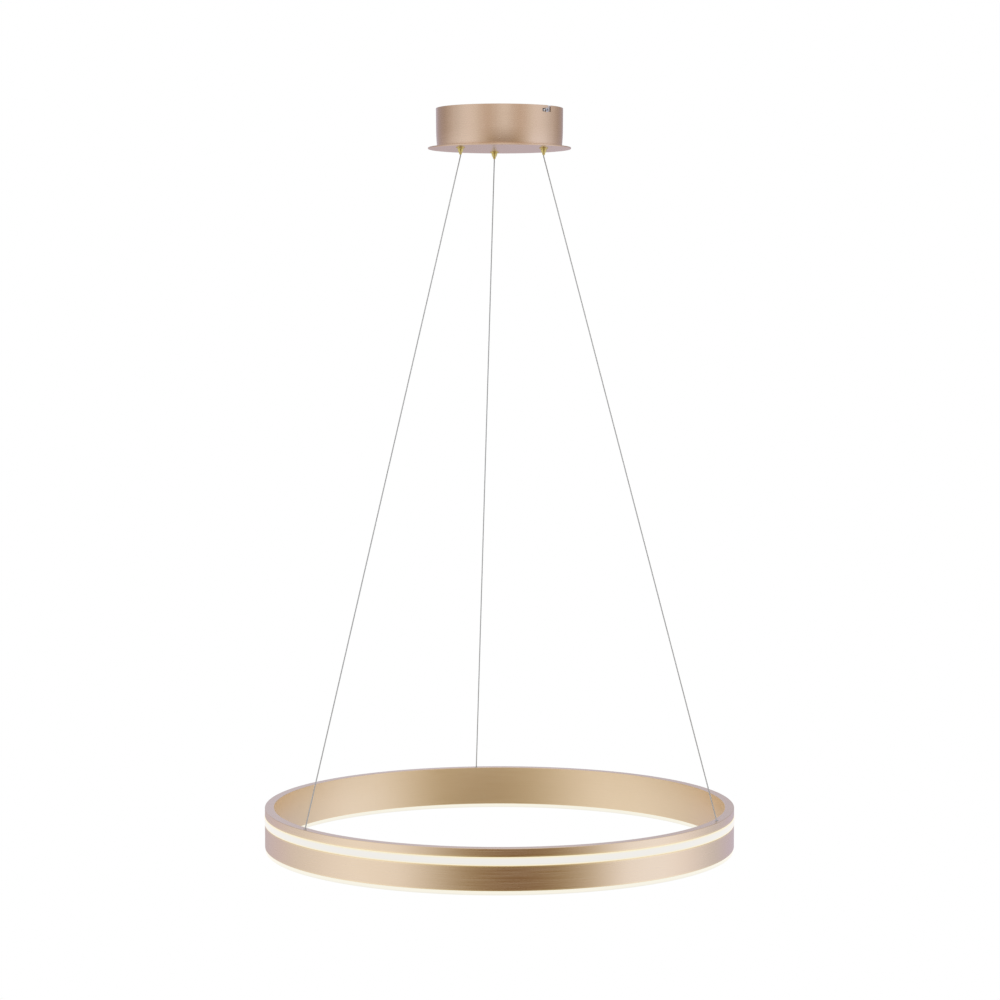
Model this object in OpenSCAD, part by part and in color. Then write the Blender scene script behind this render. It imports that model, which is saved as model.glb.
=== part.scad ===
// Ring pendant light.
// A rolled aluminium extrusion closed into a ring carries a light line in its outer face and a
// second one underneath. It hangs on three current-carrying wires from a round ceiling canopy,
// which holds the LED driver and the wire grippers. The canopy hooks onto a ceiling bracket
// with two bayonet slots. The origin is the centre of the ceiling face, +Z is up, and -Y is
// the side that faces the viewer.

/* [Ring] */
// Outer diameter of the metal ring
ring_d = 600; // [520:5:760]
// Radial thickness of the ring
ring_wall = 11.7; // [11:0.1:14]
// Height of the metal ring, without the bottom diffuser
ring_h = 50.5; // [46:0.5:60]
// Sheet thickness of the extrusion's walls and webs
skin = 1.4; // [1.2:0.1:1.6]
// Height of the metal band above the side light
top_band_h = 10.2; // [9:0.1:12]
// Height of the side light opening
side_light_h = 10.4; // [9:0.1:12]
// Depth of the bottom light channel
bottom_channel_h = 12; // [10:0.5:13]
// Width of the butt joint where the rolled extrusion closes
seam_gap = 0.15; // [0.1:0.05:0.5]
// Direction of the butt joint, seen from above
seam_angle = 126; // [110:1:150]

/* [Light lines] */
// How far the side diffuser stands out of the metal
side_proud = 0.6; // [0.3:0.1:1.5]
// How far the bottom diffuser hangs below the metal
bottom_proud = 5.3; // [3:0.1:8]
// How far the bottom diffuser stays inside the ring's two faces
bottom_inset = 0.8; // [0.3:0.1:1.5]
// Wall thickness of the opal diffusers
opal_wall = 1.1; // [0.9:0.1:1.4]
// Thickness of the LED tapes
tape_t = 0.3; // [0.2:0.05:0.5]
// Radius of the silicone bead over the LEDs
bead_r = 1.1; // [0.8:0.1:1.5]

/* [Suspension] */
// Distance from the ceiling to the top of the ring
drop = 886.5; // [700:1:1200]
// Diameter of the jacketed wires
wire_d = 1.5; // [1.2:0.1:1.8]
// Diameter of the circle of wire grippers
gripper_pcd = 121; // [110:1:130]
// Direction of the back wire, seen from above
first_wire = 96.3; // [90:0.1:102]
// Bend radius of a wire below its gripper
wire_bend = 8; // [5:0.5:15]

/* [Canopy] */
// Outer diameter of the canopy at its open rim
canopy_rim_d = 160.6; // [156:0.2:170]
// Outer diameter of the canopy at its floor
canopy_floor_d = 157.8; // [154:0.2:166]
// Height of the canopy housing
canopy_h = 49; // [44:0.2:60]
// How far a curve draws the lower half of the canopy wall in
canopy_draw = 1.1; // [0.2:0.1:2]
// Sheet thickness of the canopy housing
canopy_sheet = 1.2; // [0.8:0.1:1.6]
// Diameter of the plate under the canopy
plate_d = 181; // [176:1:200]
// Thickness of the plate under the canopy
plate_t = 1.9; // [1.7:0.1:3]

/* [Wire grippers] */
// Diameter of the collar under the plate
collar_d = 11; // [10:0.2:13]
// Thickness of the collar
collar_t = 1.2; // [0.8:0.1:2]
// Diameter of the nose below the collar
nose_d = 7.4; // [6.8:0.1:8.5]
// Length of the nose below the plate
nose_l = 6; // [5:0.5:9]
// Diameter of the threaded shank inside the canopy
shank_d = 8; // [7.6:0.1:10]
// Length of the shank above the underside of the plate
shank_l = 17.5; // [16:0.5:22]
// Diameter of the release plunger's tip
plunger_d = 3.6; // [3.2:0.1:4]
// How far the plunger stands out of the nose
plunger_out = 3; // [2.5:0.1:4.5]
// Travel of the plunger that frees the wire
plunger_travel = 1.5; // [1:0.1:1.8]
// Diameter of the clamping balls
ball_d = 2; // [1.8:0.05:2.2]

/* [Ceiling bracket] */
// Width of the bracket strap
strap_w = 24; // [18:1:26]
// Sheet thickness of the strap
strap_t = 1.5; // [1.2:0.1:2]
// Length of the bent ears
ear_h = 14; // [12:0.5:18]
// Diameter of the round ceiling holes
ceiling_hole_d = 5.2; // [4.2:0.1:6]
// Distance between the round ceiling holes
ceiling_hole_pitch = 70; // [60:1:76]
// Distance from the middle of one ceiling slot to the middle of the other
ceiling_slot_pitch = 110; // [104:1:116]
// Diameter of the cable hole in the middle
cable_hole_d = 12; // [8:0.5:14]
// Diameter of the two canopy screws
screw_d = 3; // [2.5:0.5:3.5]
// Head diameter of the two canopy screws
screw_head_d = 5.5; // [5:0.5:7]
// Distance from the ceiling to the canopy screws
screw_depth = 6.2; // [5.6:0.1:7]
// Direction of the front canopy screw, seen from above
screw_angle = -43.6; // [-49:0.1:-41]
// Turn of the canopy from its place to the entry of its slots
twist_angle = 4.4; // [4:0.1:6]
// Turn of the canopy the other way, to the closed end of its slots
slack_angle = 3; // [0:0.1:4]

/* [Driver and terminals] */
// Length of the LED driver
driver_l = 96; // [84:1:100]
// Width of the LED driver
driver_w = 38; // [32:1:40]
// Height of the LED driver
driver_h = 23; // [18:0.5:26]
// Wall thickness of the driver case
driver_wall = 1.6; // [1.2:0.1:2]
// Length of the mains terminal block
block_l = 27; // [24:0.5:30]
// Width of the mains terminal block
block_w = 17; // [15:0.5:20]
// Height of the mains terminal block
block_h = 14; // [12:0.5:17]
// Diameter of the mains leads inside the canopy
lead_d = 2; // [1.6:0.1:2.2]

/* [Hidden] */

$fn = 64;
// Clearance of parts that push together by hand
fit = 0.15;
// Radial clearance of a sliding fit
slide_fit = 0.05;
// Clearance of screws in plain holes
hole_fit = 0.3;
// Clearance on the diameter of a screwed joint
thread_fit = 0.04;
// Gap between faces that rest on each other
touch = 0.02;
// A cut reaches this far past the face that it opens
over = 1;

// Gap between the canopy's rim and the ceiling
rim_gap = 0.3;

// Ring, in radii and in heights below its top face
r_out = ring_d / 2;
r_in = r_out - ring_wall;
r_mid = (r_out + r_in) / 2;
wall_in = r_in + skin;
wall_out = r_out - skin;
side_low = top_band_h + side_light_h;
bottom_web = ring_h - bottom_channel_h;
rib_h = 0.5;
rib_w = 0.9;
rib_inset = 3.2;
seam_turn = 2 * asin(seam_gap / 2 / r_in);

// Wires: grippers and anchors share their directions
wire_dirs = [first_wire, first_wire + 120, first_wire + 240];
gripper_r = gripper_pcd / 2;
plate_low = -rim_gap - canopy_h - plate_t;
tip_z = plate_low - nose_l - plunger_out;
anchor_hole_d = wire_d + 1.9;
bush_bore_d = wire_d + 0.9;
bush_flange_d = anchor_hole_d + 1.2;
bush_flange_t = 0.4;
bush_l = 3;
wire_in = 0.8;
wire_lead = 0.5;
stop_gap = 0.4;
stop_d = 2.8;
stop_l = 3.6;
ring_lead_d = 1.2;

// Slant of a wire between the bend below its gripper and its anchor in the ring
run_x = r_mid - gripper_r - wire_bend;
run_z = drop + tip_z - wire_lead;
wire_slant = atan2(run_x, run_z) + asin(wire_bend / norm([run_x, run_z]));
wire_straight = sqrt(run_x * run_x + run_z * run_z - wire_bend * wire_bend);

// Canopy, as radii of the sloping wall
rim_r = canopy_rim_d / 2;
floor_r = canopy_floor_d / 2;
floor_z = -rim_gap - canopy_h;
floor_top = floor_z + canopy_sheet;
slot_h = screw_d + 1;
entry_w = screw_d + 3.5;
// Outer face of the bracket's ears inside the curved wall, to a hundredth of a millimetre
ear_face = floor(100 * (wall_r(screw_depth) - canopy_sheet
    - pow(strap_w / 2, 2) / canopy_rim_d - 0.6)) / 100;
plunger_bore = plunger_d + 2 * slide_fit;

// Gripper, in heights above the underside of the plate
cone_low = 1;
cone_high = 9;
chamber_d = 6;
cage_low = 4.4;
cage_high = 9.5;
spring_coils = 4;
spring_wire = 0.5;
spring_spare = 1;
cap_seat = cage_high + plunger_travel + spring_coils * spring_wire + spring_spare;
cap_rim_t = 1.5;
cap_top = shank_l + cap_rim_t;
cap_lead = 1;
cage_d = plunger_d + 0.8;
wire_bore = wire_d + 0.3;
ball_r_pos = (wire_d + ball_d) / 2 + 0.02;
cone_slope = (chamber_d - plunger_bore) / 2 / (cone_high - cone_low);
ball_reach = ball_r_pos + ball_d / 2 / cos(atan(cone_slope)) + 0.03;
ball_z = cone_low + (ball_reach - plunger_bore / 2) / cone_slope;
nut_t = 4;
nut_flats = 13;

// Places of the parts on the canopy floor
driver_pos = [0, 4];
driver_ear = 8;
driver_ear_t = 2;
driver_end = driver_l / 2 + driver_ear;
driver_screw_x = driver_l / 2 + driver_ear / 2;
driver_screw_d = 3;
driver_base_h = driver_h * 0.55;
driver_screw_in = 1.3;
block_pos = [27, 45];
block_pole = block_l / 3;
block_lead_h = 5;
block_lead_z = floor_top + block_lead_h;
block_tab_l = 7;
block_tab_t = 3;
block_screw_x = block_l / 2 + block_tab_l / 2;
terminal_screw_d = 3.2;
clamp_y = block_w * 0.24;
earth_pos = [-33, 43];
earth_stud_d = 4;
port_low = 5;
lead_fit = 0.8;
port_pitch = 5;
small_head_d = 5.6;
connector_l = 9;
connector_d = 3.6;
connector_in = 1.5;
connector_x = 20;
connector_end_x = connector_x + connector_in - connector_l;
connector_y = driver_pos.y - driver_w / 2 - 8;
side_tape_gap = 1.45;
bottom_tape_gap = 0.45;

// Outer radius of the canopy wall at a depth below the ceiling: a cone, curved in its lower half
function wall_r(depth) = let (
        down = (depth - rim_gap) / canopy_h,
        curve = max(0, 2 * down - 1)
    ) rim_r - (rim_r - floor_r - canopy_draw) * down - canopy_draw * curve * curve;

// Points on a smooth curve through the given points
function bend_point(a, b, c, d, t) = 0.5 * (2 * b + (c - a) * t
    + (2 * a - 5 * b + 4 * c - d) * t * t + (3 * b - a - 3 * c + d) * t * t * t);
function smooth(pts, steps) = let (n = len(pts)) [
    for (i = [0 : n - 2], s = [0 : steps - 1])
        bend_point(pts[max(i - 1, 0)], pts[i], pts[i + 1], pts[min(i + 2, n - 1)], s / steps),
    pts[n - 1]
];
function unit(v) = v / norm(v);

// Tube of a given diameter along a list of points
module tube_along(pts, d, sides = 8) {
    n = len(pts);
    dirs = [for (i = [0 : n - 1]) unit(pts[min(i + 1, n - 1)] - pts[max(i - 1, 0)])];
    up = abs(dirs[0].z) > 0.9 ? [1, 0, 0] : [0, 0, 1];
    rings = [
        for (i = [0 : n - 1])
            let (u = unit(cross(dirs[i], abs(dirs[i] * up) > 0.95 ? [0, 1, 0] : up)))
            let (v = cross(dirs[i], u))
            for (k = [0 : sides - 1])
                pts[i] + d / 2 * (cos(360 * k / sides) * u + sin(360 * k / sides) * v)
    ];
    walls = [
        for (i = [0 : n - 2], k = [0 : sides - 1])
            let (a = i * sides + k, b = i * sides + (k + 1) % sides)
            each [[a, b, b + sides], [a, b + sides, a + sides]]
    ];
    ends = [
        for (k = [1 : sides - 2])
            each [[0, k + 1, k], [(n - 1) * sides, (n - 1) * sides + k, (n - 1) * sides + k + 1]]
    ];
    polyhedron(points = rings, faces = [for (f = concat(walls, ends)) [f[0], f[2], f[1]]]);
}

// Puts its children at one of the three wires, +X pointing away from the middle
module at_wire(i, radius, z) {
    rotate([0, 0, wire_dirs[i]])
        translate([radius, 0, z])
            children();
}

// Puts its children at the front screw and at the one opposite
module at_screws() {
    for (turn = [0, 180])
        rotate([0, 0, screw_angle + turn])
            children();
}

// Turns a flat section, drawn in radius and height, into a ring that is open at the seam
module seamed_ring() {
    translate([0, 0, -drop])
        rotate([0, 0, seam_angle + seam_turn / 2])
            rotate_extrude(angle = 360 - seam_turn, $fn = 180)
                children();
}

// Rectangle between two radii and two depths below the ring's top
module band(r0, r1, low, high) {
    translate([r0, -low])
        square([r1 - r0, low - high]);
}

// Ceiling bracket

module strap_blank() {
    bend_r = strap_t + 1;
    translate([-ear_face + bend_r, -strap_w / 2, -strap_t])
        cube([2 * (ear_face - bend_r), strap_w, strap_t]);
    for (turn = [0, 180])
        rotate([0, 0, turn]) {
            translate([ear_face - strap_t, -strap_w / 2, -ear_h])
                cube([strap_t, strap_w, ear_h - bend_r]);
            translate([ear_face - bend_r, strap_w / 2, -bend_r])
                rotate([90, 0, 0])
                    strap_bend(bend_r);
        }
}

// Quarter bend of the strap, from the flat to the ear
module strap_bend(bend_r) {
    intersection() {
        difference() {
            cylinder(r = bend_r, h = strap_w);
            translate([0, 0, -over])
                cylinder(r = bend_r - strap_t, h = strap_w + 2 * over);
        }
        cube([bend_r, bend_r, strap_w]);
    }
}

module ceiling_slot() {
    slot_l = 12;
    for (x = [-slot_l / 2, slot_l / 2])
        translate([x, 0, -strap_t - over])
            cylinder(d = ceiling_hole_d, h = strap_t + 2 * over);
    translate([-slot_l / 2, -ceiling_hole_d / 2, -strap_t - over])
        cube([slot_l, ceiling_hole_d, strap_t + 2 * over]);
}

module ceiling_bracket() {
    color("lightsteelblue")
        rotate([0, 0, screw_angle])
            difference() {
                strap_blank();
                for (side = [-1, 1]) {
                    translate([side * ceiling_hole_pitch / 2, 0, -strap_t - over])
                        cylinder(d = ceiling_hole_d, h = strap_t + 2 * over);
                    translate([side * ceiling_slot_pitch / 2, 0, 0])
                        ceiling_slot();
                    translate([side * (ear_face + over), 0, -screw_depth])
                        rotate([0, -90 * side, 0])
                            cylinder(d = screw_d, h = strap_t + 2 * over);
                }
                translate([0, 0, -strap_t - over])
                    cylinder(d = cable_hole_d, h = strap_t + 2 * over);
            }
}

// Pan head screw with a cross recess, axis along +X, head's seat at x = 0
module pan_screw(d, head_d, length) {
    head_t = head_d * 0.32;
    recess = head_d * 0.5;
    difference() {
        rotate([0, 90, 0]) {
            cylinder(d = head_d, h = head_t * 0.55);
            translate([0, 0, head_t * 0.55])
                cylinder(d1 = head_d, d2 = head_d * 0.62, h = head_t * 0.45);
        }
        for (turn = [0, 90])
            rotate([turn, 0, 0])
                translate([head_t * 0.4, -recess / 2, -head_d * 0.06])
                    cube([head_t, recess, head_d * 0.12]);
    }
    rotate([0, -90, 0])
        cylinder(d = d, h = length);
}

module canopy_screws() {
    color("silver")
        at_screws()
            translate([wall_r(screw_depth) + 0.2, 0, -screw_depth])
                pan_screw(screw_d - thread_fit, screw_head_d, 9);
}

// Canopy

// Bayonet slot in one outline, seen from outside: a pocket, and an entry that is open at the rim
module bayonet_slot() {
    reach = 6;
    half = rim_r * sin((twist_angle + slack_angle) / 2);
    pocket_end = half + slot_h / 2 + 0.2;
    low = -screw_depth - slot_h / 2;
    rotate([0, 0, (twist_angle - slack_angle) / 2])
        translate([rim_r - reach, 0, 0])
            rotate([90, 0, 90])
                linear_extrude(2 * reach)
                    polygon([
                        [-pocket_end, low], [half + entry_w / 2, low], [half + entry_w / 2, over],
                        [half - entry_w / 2, over], [half - entry_w / 2, low + slot_h],
                        [-pocket_end, low + slot_h]
                    ]);
}

// Heights at which the wall's outline bends, from its foot up to the rim
function rises(foot) = [
    foot, for (part = [0.875, 0.75, 0.625, 0.5, 0]) -rim_gap - part * canopy_h
];
function reversed(list) = [for (i = [len(list) - 1 : -1 : 0]) list[i]];

module canopy_housing() {
    color("tan")
        difference() {
            rotate_extrude($fn = 120)
                polygon([
                    [0, floor_z], each [for (z = rises(floor_z)) [wall_r(-z), z]],
                    each [for (z = reversed(rises(floor_top))) [wall_r(-z) - canopy_sheet, z]],
                    [0, floor_top]
                ]);
            at_screws()
                bayonet_slot();
            for (i = [0 : 2])
                at_wire(i, gripper_r, floor_z - over)
                    cylinder(d = shank_d + hole_fit, h = canopy_sheet + 2 * over);
            floor_holes(floor_z - over, canopy_sheet + 2 * over, hole_fit);
        }
}

// Holes for the driver's, the terminal block's and the earth screws
module floor_holes(z, h, clearance) {
    for (side = [-1, 1])
        translate([driver_pos.x + side * driver_screw_x, driver_pos.y, z])
            cylinder(d = driver_screw_d + clearance, h = h);
    for (side = [-1, 1])
        translate([block_pos.x + side * block_screw_x, block_pos.y, z])
            cylinder(d = driver_screw_d + clearance, h = h);
    translate([earth_pos.x, earth_pos.y, z])
        cylinder(d = earth_stud_d + clearance, h = h);
}

module canopy_plate() {
    edge = 0.5;
    color("rosybrown")
        difference() {
            rotate_extrude($fn = 120)
                polygon([
                    [0, plate_low], [plate_d / 2 - edge, plate_low], [plate_d / 2, plate_low + edge],
                    [plate_d / 2, floor_z - edge], [plate_d / 2 - edge, floor_z], [0, floor_z]
                ]);
            for (i = [0 : 2])
                at_wire(i, gripper_r, plate_low - over)
                    cylinder(d = shank_d + hole_fit, h = plate_t + 2 * over);
            floor_holes(floor_z - driver_screw_in, driver_screw_in + over, thread_fit);
        }
}

// Wire grippers

module gripper_body(i) {
    end_r = nose_d * 0.36;
    color("gold")
        at_wire(i, gripper_r, plate_low)
            difference() {
                rotate_extrude()
                    polygon([
                        [0, -nose_l], [end_r, -nose_l], [end_r + 0.2, -nose_l + 0.4],
                        [nose_d / 2, -collar_t - 1.4], [nose_d / 2, -collar_t],
                        [collar_d / 2 - 0.2, -collar_t], [collar_d / 2, -collar_t + 0.2],
                        [collar_d / 2, 0], [shank_d / 2, 0], [shank_d / 2, shank_l - 0.5],
                        [shank_d / 2 - 0.5, shank_l], [0, shank_l]
                    ]);
                gripper_bore();
            }
}

// Plunger bore, clamping cone and spring chamber
module gripper_bore() {
    translate([0, 0, -nose_l - over])
        cylinder(d = plunger_bore, h = nose_l + cone_low + over);
    translate([0, 0, cone_low])
        cylinder(d1 = plunger_bore, d2 = chamber_d, h = cone_high - cone_low);
    translate([0, 0, cone_high])
        cylinder(d = chamber_d, h = shank_l - cone_high + over);
}

module gripper_cap(i) {
    color("goldenrod")
        at_wire(i, gripper_r, plate_low)
            difference() {
                union() {
                    translate([0, 0, cap_seat])
                        cylinder(d = chamber_d - thread_fit, h = shank_l - cap_seat);
                    translate([0, 0, shank_l])
                        cylinder(d = shank_d - 0.6, h = cap_rim_t);
                }
                translate([0, 0, cap_seat - over])
                    cylinder(d = wire_bore, h = cap_top - cap_seat + 2 * over);
                translate([-shank_d, -0.5, cap_top - 0.7])
                    cube([2 * shank_d, 1, over]);
            }
}

module gripper_spring(i) {
    steps = 12;
    spring_r = chamber_d / 2 - spring_wire;
    low = cage_high + spring_wire / 2 + 0.05;
    high = cap_seat - spring_wire / 2 - 0.05;
    helix = [
        for (s = [0 : spring_coils * steps])
            [spring_r * cos(360 * s / steps), spring_r * sin(360 * s / steps),
             low + (high - low) * s / spring_coils / steps]
    ];
    color("silver")
        at_wire(i, gripper_r, plate_low)
            tube_along(helix, spring_wire, 6);
}

module gripper_nuts() {
    color("gold")
        for (i = [0 : 2])
            at_wire(i, gripper_r, floor_top)
                difference() {
                    cylinder(d = nut_flats / cos(30), h = nut_t, $fn = 6);
                    translate([0, 0, -over])
                        cylinder(d = shank_d + thread_fit, h = nut_t + 2 * over);
                }
}

module plunger(i) {
    tip = -nose_l - plunger_out;
    color("khaki")
        at_wire(i, gripper_r, plate_low)
            difference() {
                rotate_extrude()
                    polygon([
                        [0, tip], [plunger_d * 0.36, tip], [plunger_d / 2, tip + 0.9],
                        [plunger_d / 2, cage_low], [cage_d / 2, cage_low + 0.1],
                        [cage_d / 2, cage_high], [0, cage_high]
                    ]);
                translate([0, 0, tip - over])
                    cylinder(d = wire_bore, h = cage_high - tip + 2 * over);
                for (turn = [0, 120, 240])
                    rotate([0, 0, turn])
                        translate([0, 0, ball_z])
                            rotate([0, 90, 0])
                                cylinder(d = ball_d + 0.1, h = cage_d);
            }
}

module clamp_balls(i) {
    color("silver")
        at_wire(i, gripper_r, plate_low)
            for (turn = [0, 120, 240])
                rotate([0, 0, turn])
                    translate([ball_r_pos, 0, ball_z])
                        sphere(d = ball_d, $fn = 32);
}

// Wires

// Path of a wire: down out of the plunger, a bend, and one straight run into the anchor bush.
// The middle of the bend is the origin.
wire_path = let (c = cos(wire_slant), s = sin(wire_slant)) [
    [-wire_bend, 0, wire_lead],
    for (k = [0 : 6])
        [-wire_bend * cos(wire_slant * k / 6), 0, -wire_bend * sin(wire_slant * k / 6)],
    for (along = [2, wire_straight + wire_in / c])
        [-wire_bend * c + along * s, 0, -wire_bend * s - along * c]
];

module wire(i) {
    color("gainsboro")
        at_wire(i, gripper_r + wire_bend, tip_z - wire_lead)
            tube_along(wire_path, wire_d, 12);
}

// The back wire only carries weight: its tail ends in a loose end above the gripper
module wire_tail_back() {
    color("gainsboro")
        at_wire(0, gripper_r, tip_z)
            cylinder(d = wire_d, h = plate_low + cap_top - tip_z + 7);
}

// A side wire's tail turns over above its gripper and runs into a connector
function tail_points(i) =
    let (x = gripper_r * cos(wire_dirs[i]), y = gripper_r * sin(wire_dirs[i]))
    let (z = plate_low + cap_top + cap_lead)
    let (goal = connector_end(i))
    [
        [x, y, z], [x, y, z + 3], [x * 0.97, y * 0.98, z + 6],
        [(x + goal.x) / 2, (y + goal.y) / 2, z + 5],
        goal + [sign(goal.x) * 6, 0, 0], goal + [sign(goal.x) * 2, 0, 0], goal
    ];
function connector_end(i) = [(i == 1 ? -1 : 1) * connector_x, connector_y, floor_top + port_low];

module wire_tail(i) {
    color("gainsboro") {
        at_wire(i, gripper_r, tip_z)
            cylinder(d = wire_d, h = plate_low + cap_top + cap_lead - tip_z);
        tube_along(smooth(tail_points(i), 5), wire_d);
    }
}

module tail_connectors() {
    color("white")
        for (i = [1, 2])
            translate(connector_end(i))
                rotate([0, i == 1 ? 90 : -90, 0])
                    translate([0, 0, -connector_in])
                        difference() {
                            cylinder(d = connector_d, h = connector_l);
                            for (z = [-over, connector_l - connector_in - touch])
                                translate([0, 0, z])
                                    cylinder(d = wire_d + lead_fit, h = connector_in + touch + over);
                        }
}

// Driver and terminals

module driver_box(l, w, h) {
    corner = 3;
    translate([driver_pos.x, driver_pos.y, 0])
        linear_extrude(h)
            difference() {
                translate([-l / 2, -w / 2])
                    square([l, w]);
                for (sx = [-1, 1], sy = [-1, 1])
                    translate([sx * l / 2, sy * w / 2])
                        rotate([0, 0, 45])
                            square(corner, center = true);
            }
}

module driver_base() {
    color("whitesmoke")
        translate([0, 0, floor_top])
            difference() {
                union() {
                    driver_box(driver_l, driver_w, driver_base_h);
                    translate([driver_pos.x - driver_end, driver_pos.y - 8, 0])
                        cube([2 * driver_end, 16, driver_ear_t]);
                }
                translate([0, 0, driver_wall])
                    driver_box(driver_l - 2 * driver_wall, driver_w - 2 * driver_wall, driver_base_h);
                for (side = [-1, 1])
                    translate([driver_pos.x + side * driver_screw_x, driver_pos.y, -over])
                        cylinder(d = driver_screw_d + hole_fit, h = driver_ear_t + 2 * over);
                driver_ports();
            }
}

// Openings for the mains leads at the back right and for the output leads at the front
module driver_ports() {
    for (x = [0, port_pitch])
        translate([block_pos.x - block_pole + x, driver_pos.y + driver_w / 2 + over, port_low + 1])
            rotate([90, 0, 0])
                cylinder(d = lead_d + lead_fit, h = driver_wall + 2 * over);
    for (x = [-3, 3])
        translate([x, driver_pos.y - driver_w / 2 - over, port_low])
            rotate([-90, 0, 0])
                cylinder(d = lead_d + lead_fit, h = driver_wall + 2 * over);
}

module driver_cover() {
    lip = driver_wall / 2;
    color("white")
        translate([0, 0, floor_top + driver_base_h])
            difference() {
                driver_box(driver_l, driver_w, driver_h - driver_base_h);
                translate([0, 0, -over])
                    driver_box(driver_l - 2 * driver_wall, driver_w - 2 * driver_wall,
                        driver_h - driver_base_h - driver_wall + over);
                for (k = [-3 : 3])
                    translate([driver_pos.x + k * 8 - 1, driver_pos.y - driver_w, driver_h - driver_base_h - 4])
                        cube([2, 2 * driver_w, 2]);
            }
}

module driver_board() {
    board = [driver_l - 2 * driver_wall - 3, driver_w - 2 * driver_wall - 3, 1.6];
    z = floor_top + driver_wall;
    color("green")
        translate([driver_pos.x, driver_pos.y, z]) {
            translate([-board.x / 2, -board.y / 2, 0])
                cube(board);
            translate([-board.x * 0.13, -board.y * 0.35, board.z])
                cube([board.x * 0.24, board.y * 0.64, 13]);
            for (share = [-0.38, -0.29])
                translate([board.x * share, board.y * 0.13, board.z])
                    cylinder(d = 7, h = 12);
            translate([board.x * 0.27, -board.y * 0.29, board.z])
                cube([board.x * 0.13, board.y * 0.38, 9]);
        }
}

// Screws through the driver's ears and the terminal block's tabs into the plate
module driver_screws() {
    color("silver")
        for (side = [-1, 1]) {
            translate([driver_pos.x + side * driver_screw_x, driver_pos.y, floor_top])
                small_screw(driver_ear_t);
            translate([block_pos.x + side * block_screw_x, block_pos.y, floor_top])
                small_screw(block_tab_t);
        }
}

module small_screw(seat) {
    translate([0, 0, seat])
        rotate([0, -90, 0])
            pan_screw(driver_screw_d, small_head_d, seat + canopy_sheet + driver_screw_in - 0.1);
}

module terminal_block() {
    tab_w = 7;
    color("ivory")
        translate([block_pos.x, block_pos.y, floor_top])
            difference() {
                union() {
                    translate([-block_l / 2, -block_w / 2, 0])
                        cube([block_l, block_w, block_h * 0.7]);
                    for (k = [-1 : 1])
                        translate([k * block_pole - block_pole * 0.4, -block_w * 0.4, 0])
                            cube([block_pole * 0.8, block_w * 0.8, block_h]);
                    translate([-block_l / 2 - block_tab_l, -tab_w / 2, 0])
                        cube([block_l + 2 * block_tab_l, tab_w, block_tab_t]);
                }
                for (k = [-1 : 1]) {
                    translate([k * block_pole, block_w / 2 + over, block_lead_h])
                        rotate([90, 0, 0])
                            cylinder(d = lead_d + lead_fit, h = block_w + 2 * over);
                    for (y = [-1, 1])
                        translate([k * block_pole, y * clamp_y, block_lead_h + 1])
                            cylinder(d = terminal_screw_d + 0.2, h = block_h);
                }
                for (side = [-1, 1])
                    translate([side * block_screw_x, 0, -over])
                        cylinder(d = driver_screw_d + hole_fit, h = block_h);
            }
}

// Clamp screws of the three poles
module terminal_screws() {
    color("silver")
        for (k = [-1 : 1], y = [-1, 1])
            translate([block_pos.x + k * block_pole, block_pos.y + y * clamp_y,
                block_lead_z + lead_d / 2 + 0.05])
                difference() {
                    cylinder(d = terminal_screw_d, h = 5);
                    translate([-2, -0.3, 4.2])
                        cube([4, 0.6, 1]);
                }
}

// Mains leads from the block's inner side to the driver
function mains_points(x0, x1) =
    let (inner = block_pos.y - block_w / 2, wall = driver_pos.y + driver_w / 2)
    let (port_z = floor_top + port_low + 1)
    [
        [x0, block_pos.y - 1, block_lead_z], [x0, inner - 0.5, block_lead_z],
        [x0, inner - 2, block_lead_z], [(x0 + x1) / 2, (inner + wall) / 2, block_lead_z + 1],
        [x1, wall + 2, port_z], [x1, wall + 0.5, port_z], [x1, wall - driver_wall - 1, port_z]
    ];

module live_lead() {
    color("saddlebrown")
        tube_along(smooth(mains_points(block_pos.x + block_pole, block_pos.x - block_pole + port_pitch), 5),
            lead_d);
}

module neutral_lead() {
    color("royalblue")
        tube_along(smooth(mains_points(block_pos.x - block_pole, block_pos.x - block_pole), 5),
            lead_d);
}

// The earth lead leaves the middle pole and passes over the neutral lead
module earth_lead() {
    inner = block_pos.y - block_w / 2;
    pts = [
        [block_pos.x, block_pos.y - 1, block_lead_z], [block_pos.x, inner - 0.5, block_lead_z],
        [block_pos.x, inner - 2, block_lead_z], [block_pos.x - 3, inner - 4.5, block_lead_z + 4],
        [block_pos.x - block_pole, inner - 5, block_lead_z + 6],
        [block_pos.x - 2 * block_pole, inner - 5, block_lead_z + 5],
        [-8, inner - 3, block_lead_z + 4],
        [earth_pos.x + 13, earth_pos.y - 2, block_lead_z],
        [earth_pos.x + 6.5, earth_pos.y, floor_top + 1.7]
    ];
    color("yellowgreen") {
        tube_along(smooth(pts, 6), lead_d);
        translate([earth_pos.x, earth_pos.y, floor_top + 0.1])
            difference() {
                union() {
                    cylinder(d = 8, h = 0.8);
                    translate([0, -1.6, 0])
                        cube([8, 3.2, 0.8]);
                }
                translate([0, 0, -over])
                    cylinder(d = earth_stud_d + 0.2, h = 3);
            }
    }
}

module earth_stud() {
    color("gold")
        translate([earth_pos.x, earth_pos.y, floor_z - driver_screw_in + 0.1])
            cylinder(d = earth_stud_d, h = driver_screw_in + canopy_sheet + 8);
}

module earth_nut() {
    color("gold")
        translate([earth_pos.x, earth_pos.y, floor_top + 0.9])
            difference() {
                cylinder(d = 7 / cos(30), h = 3.2, $fn = 6);
                translate([0, 0, -over])
                    cylinder(d = earth_stud_d + thread_fit, h = 6);
            }
}

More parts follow.
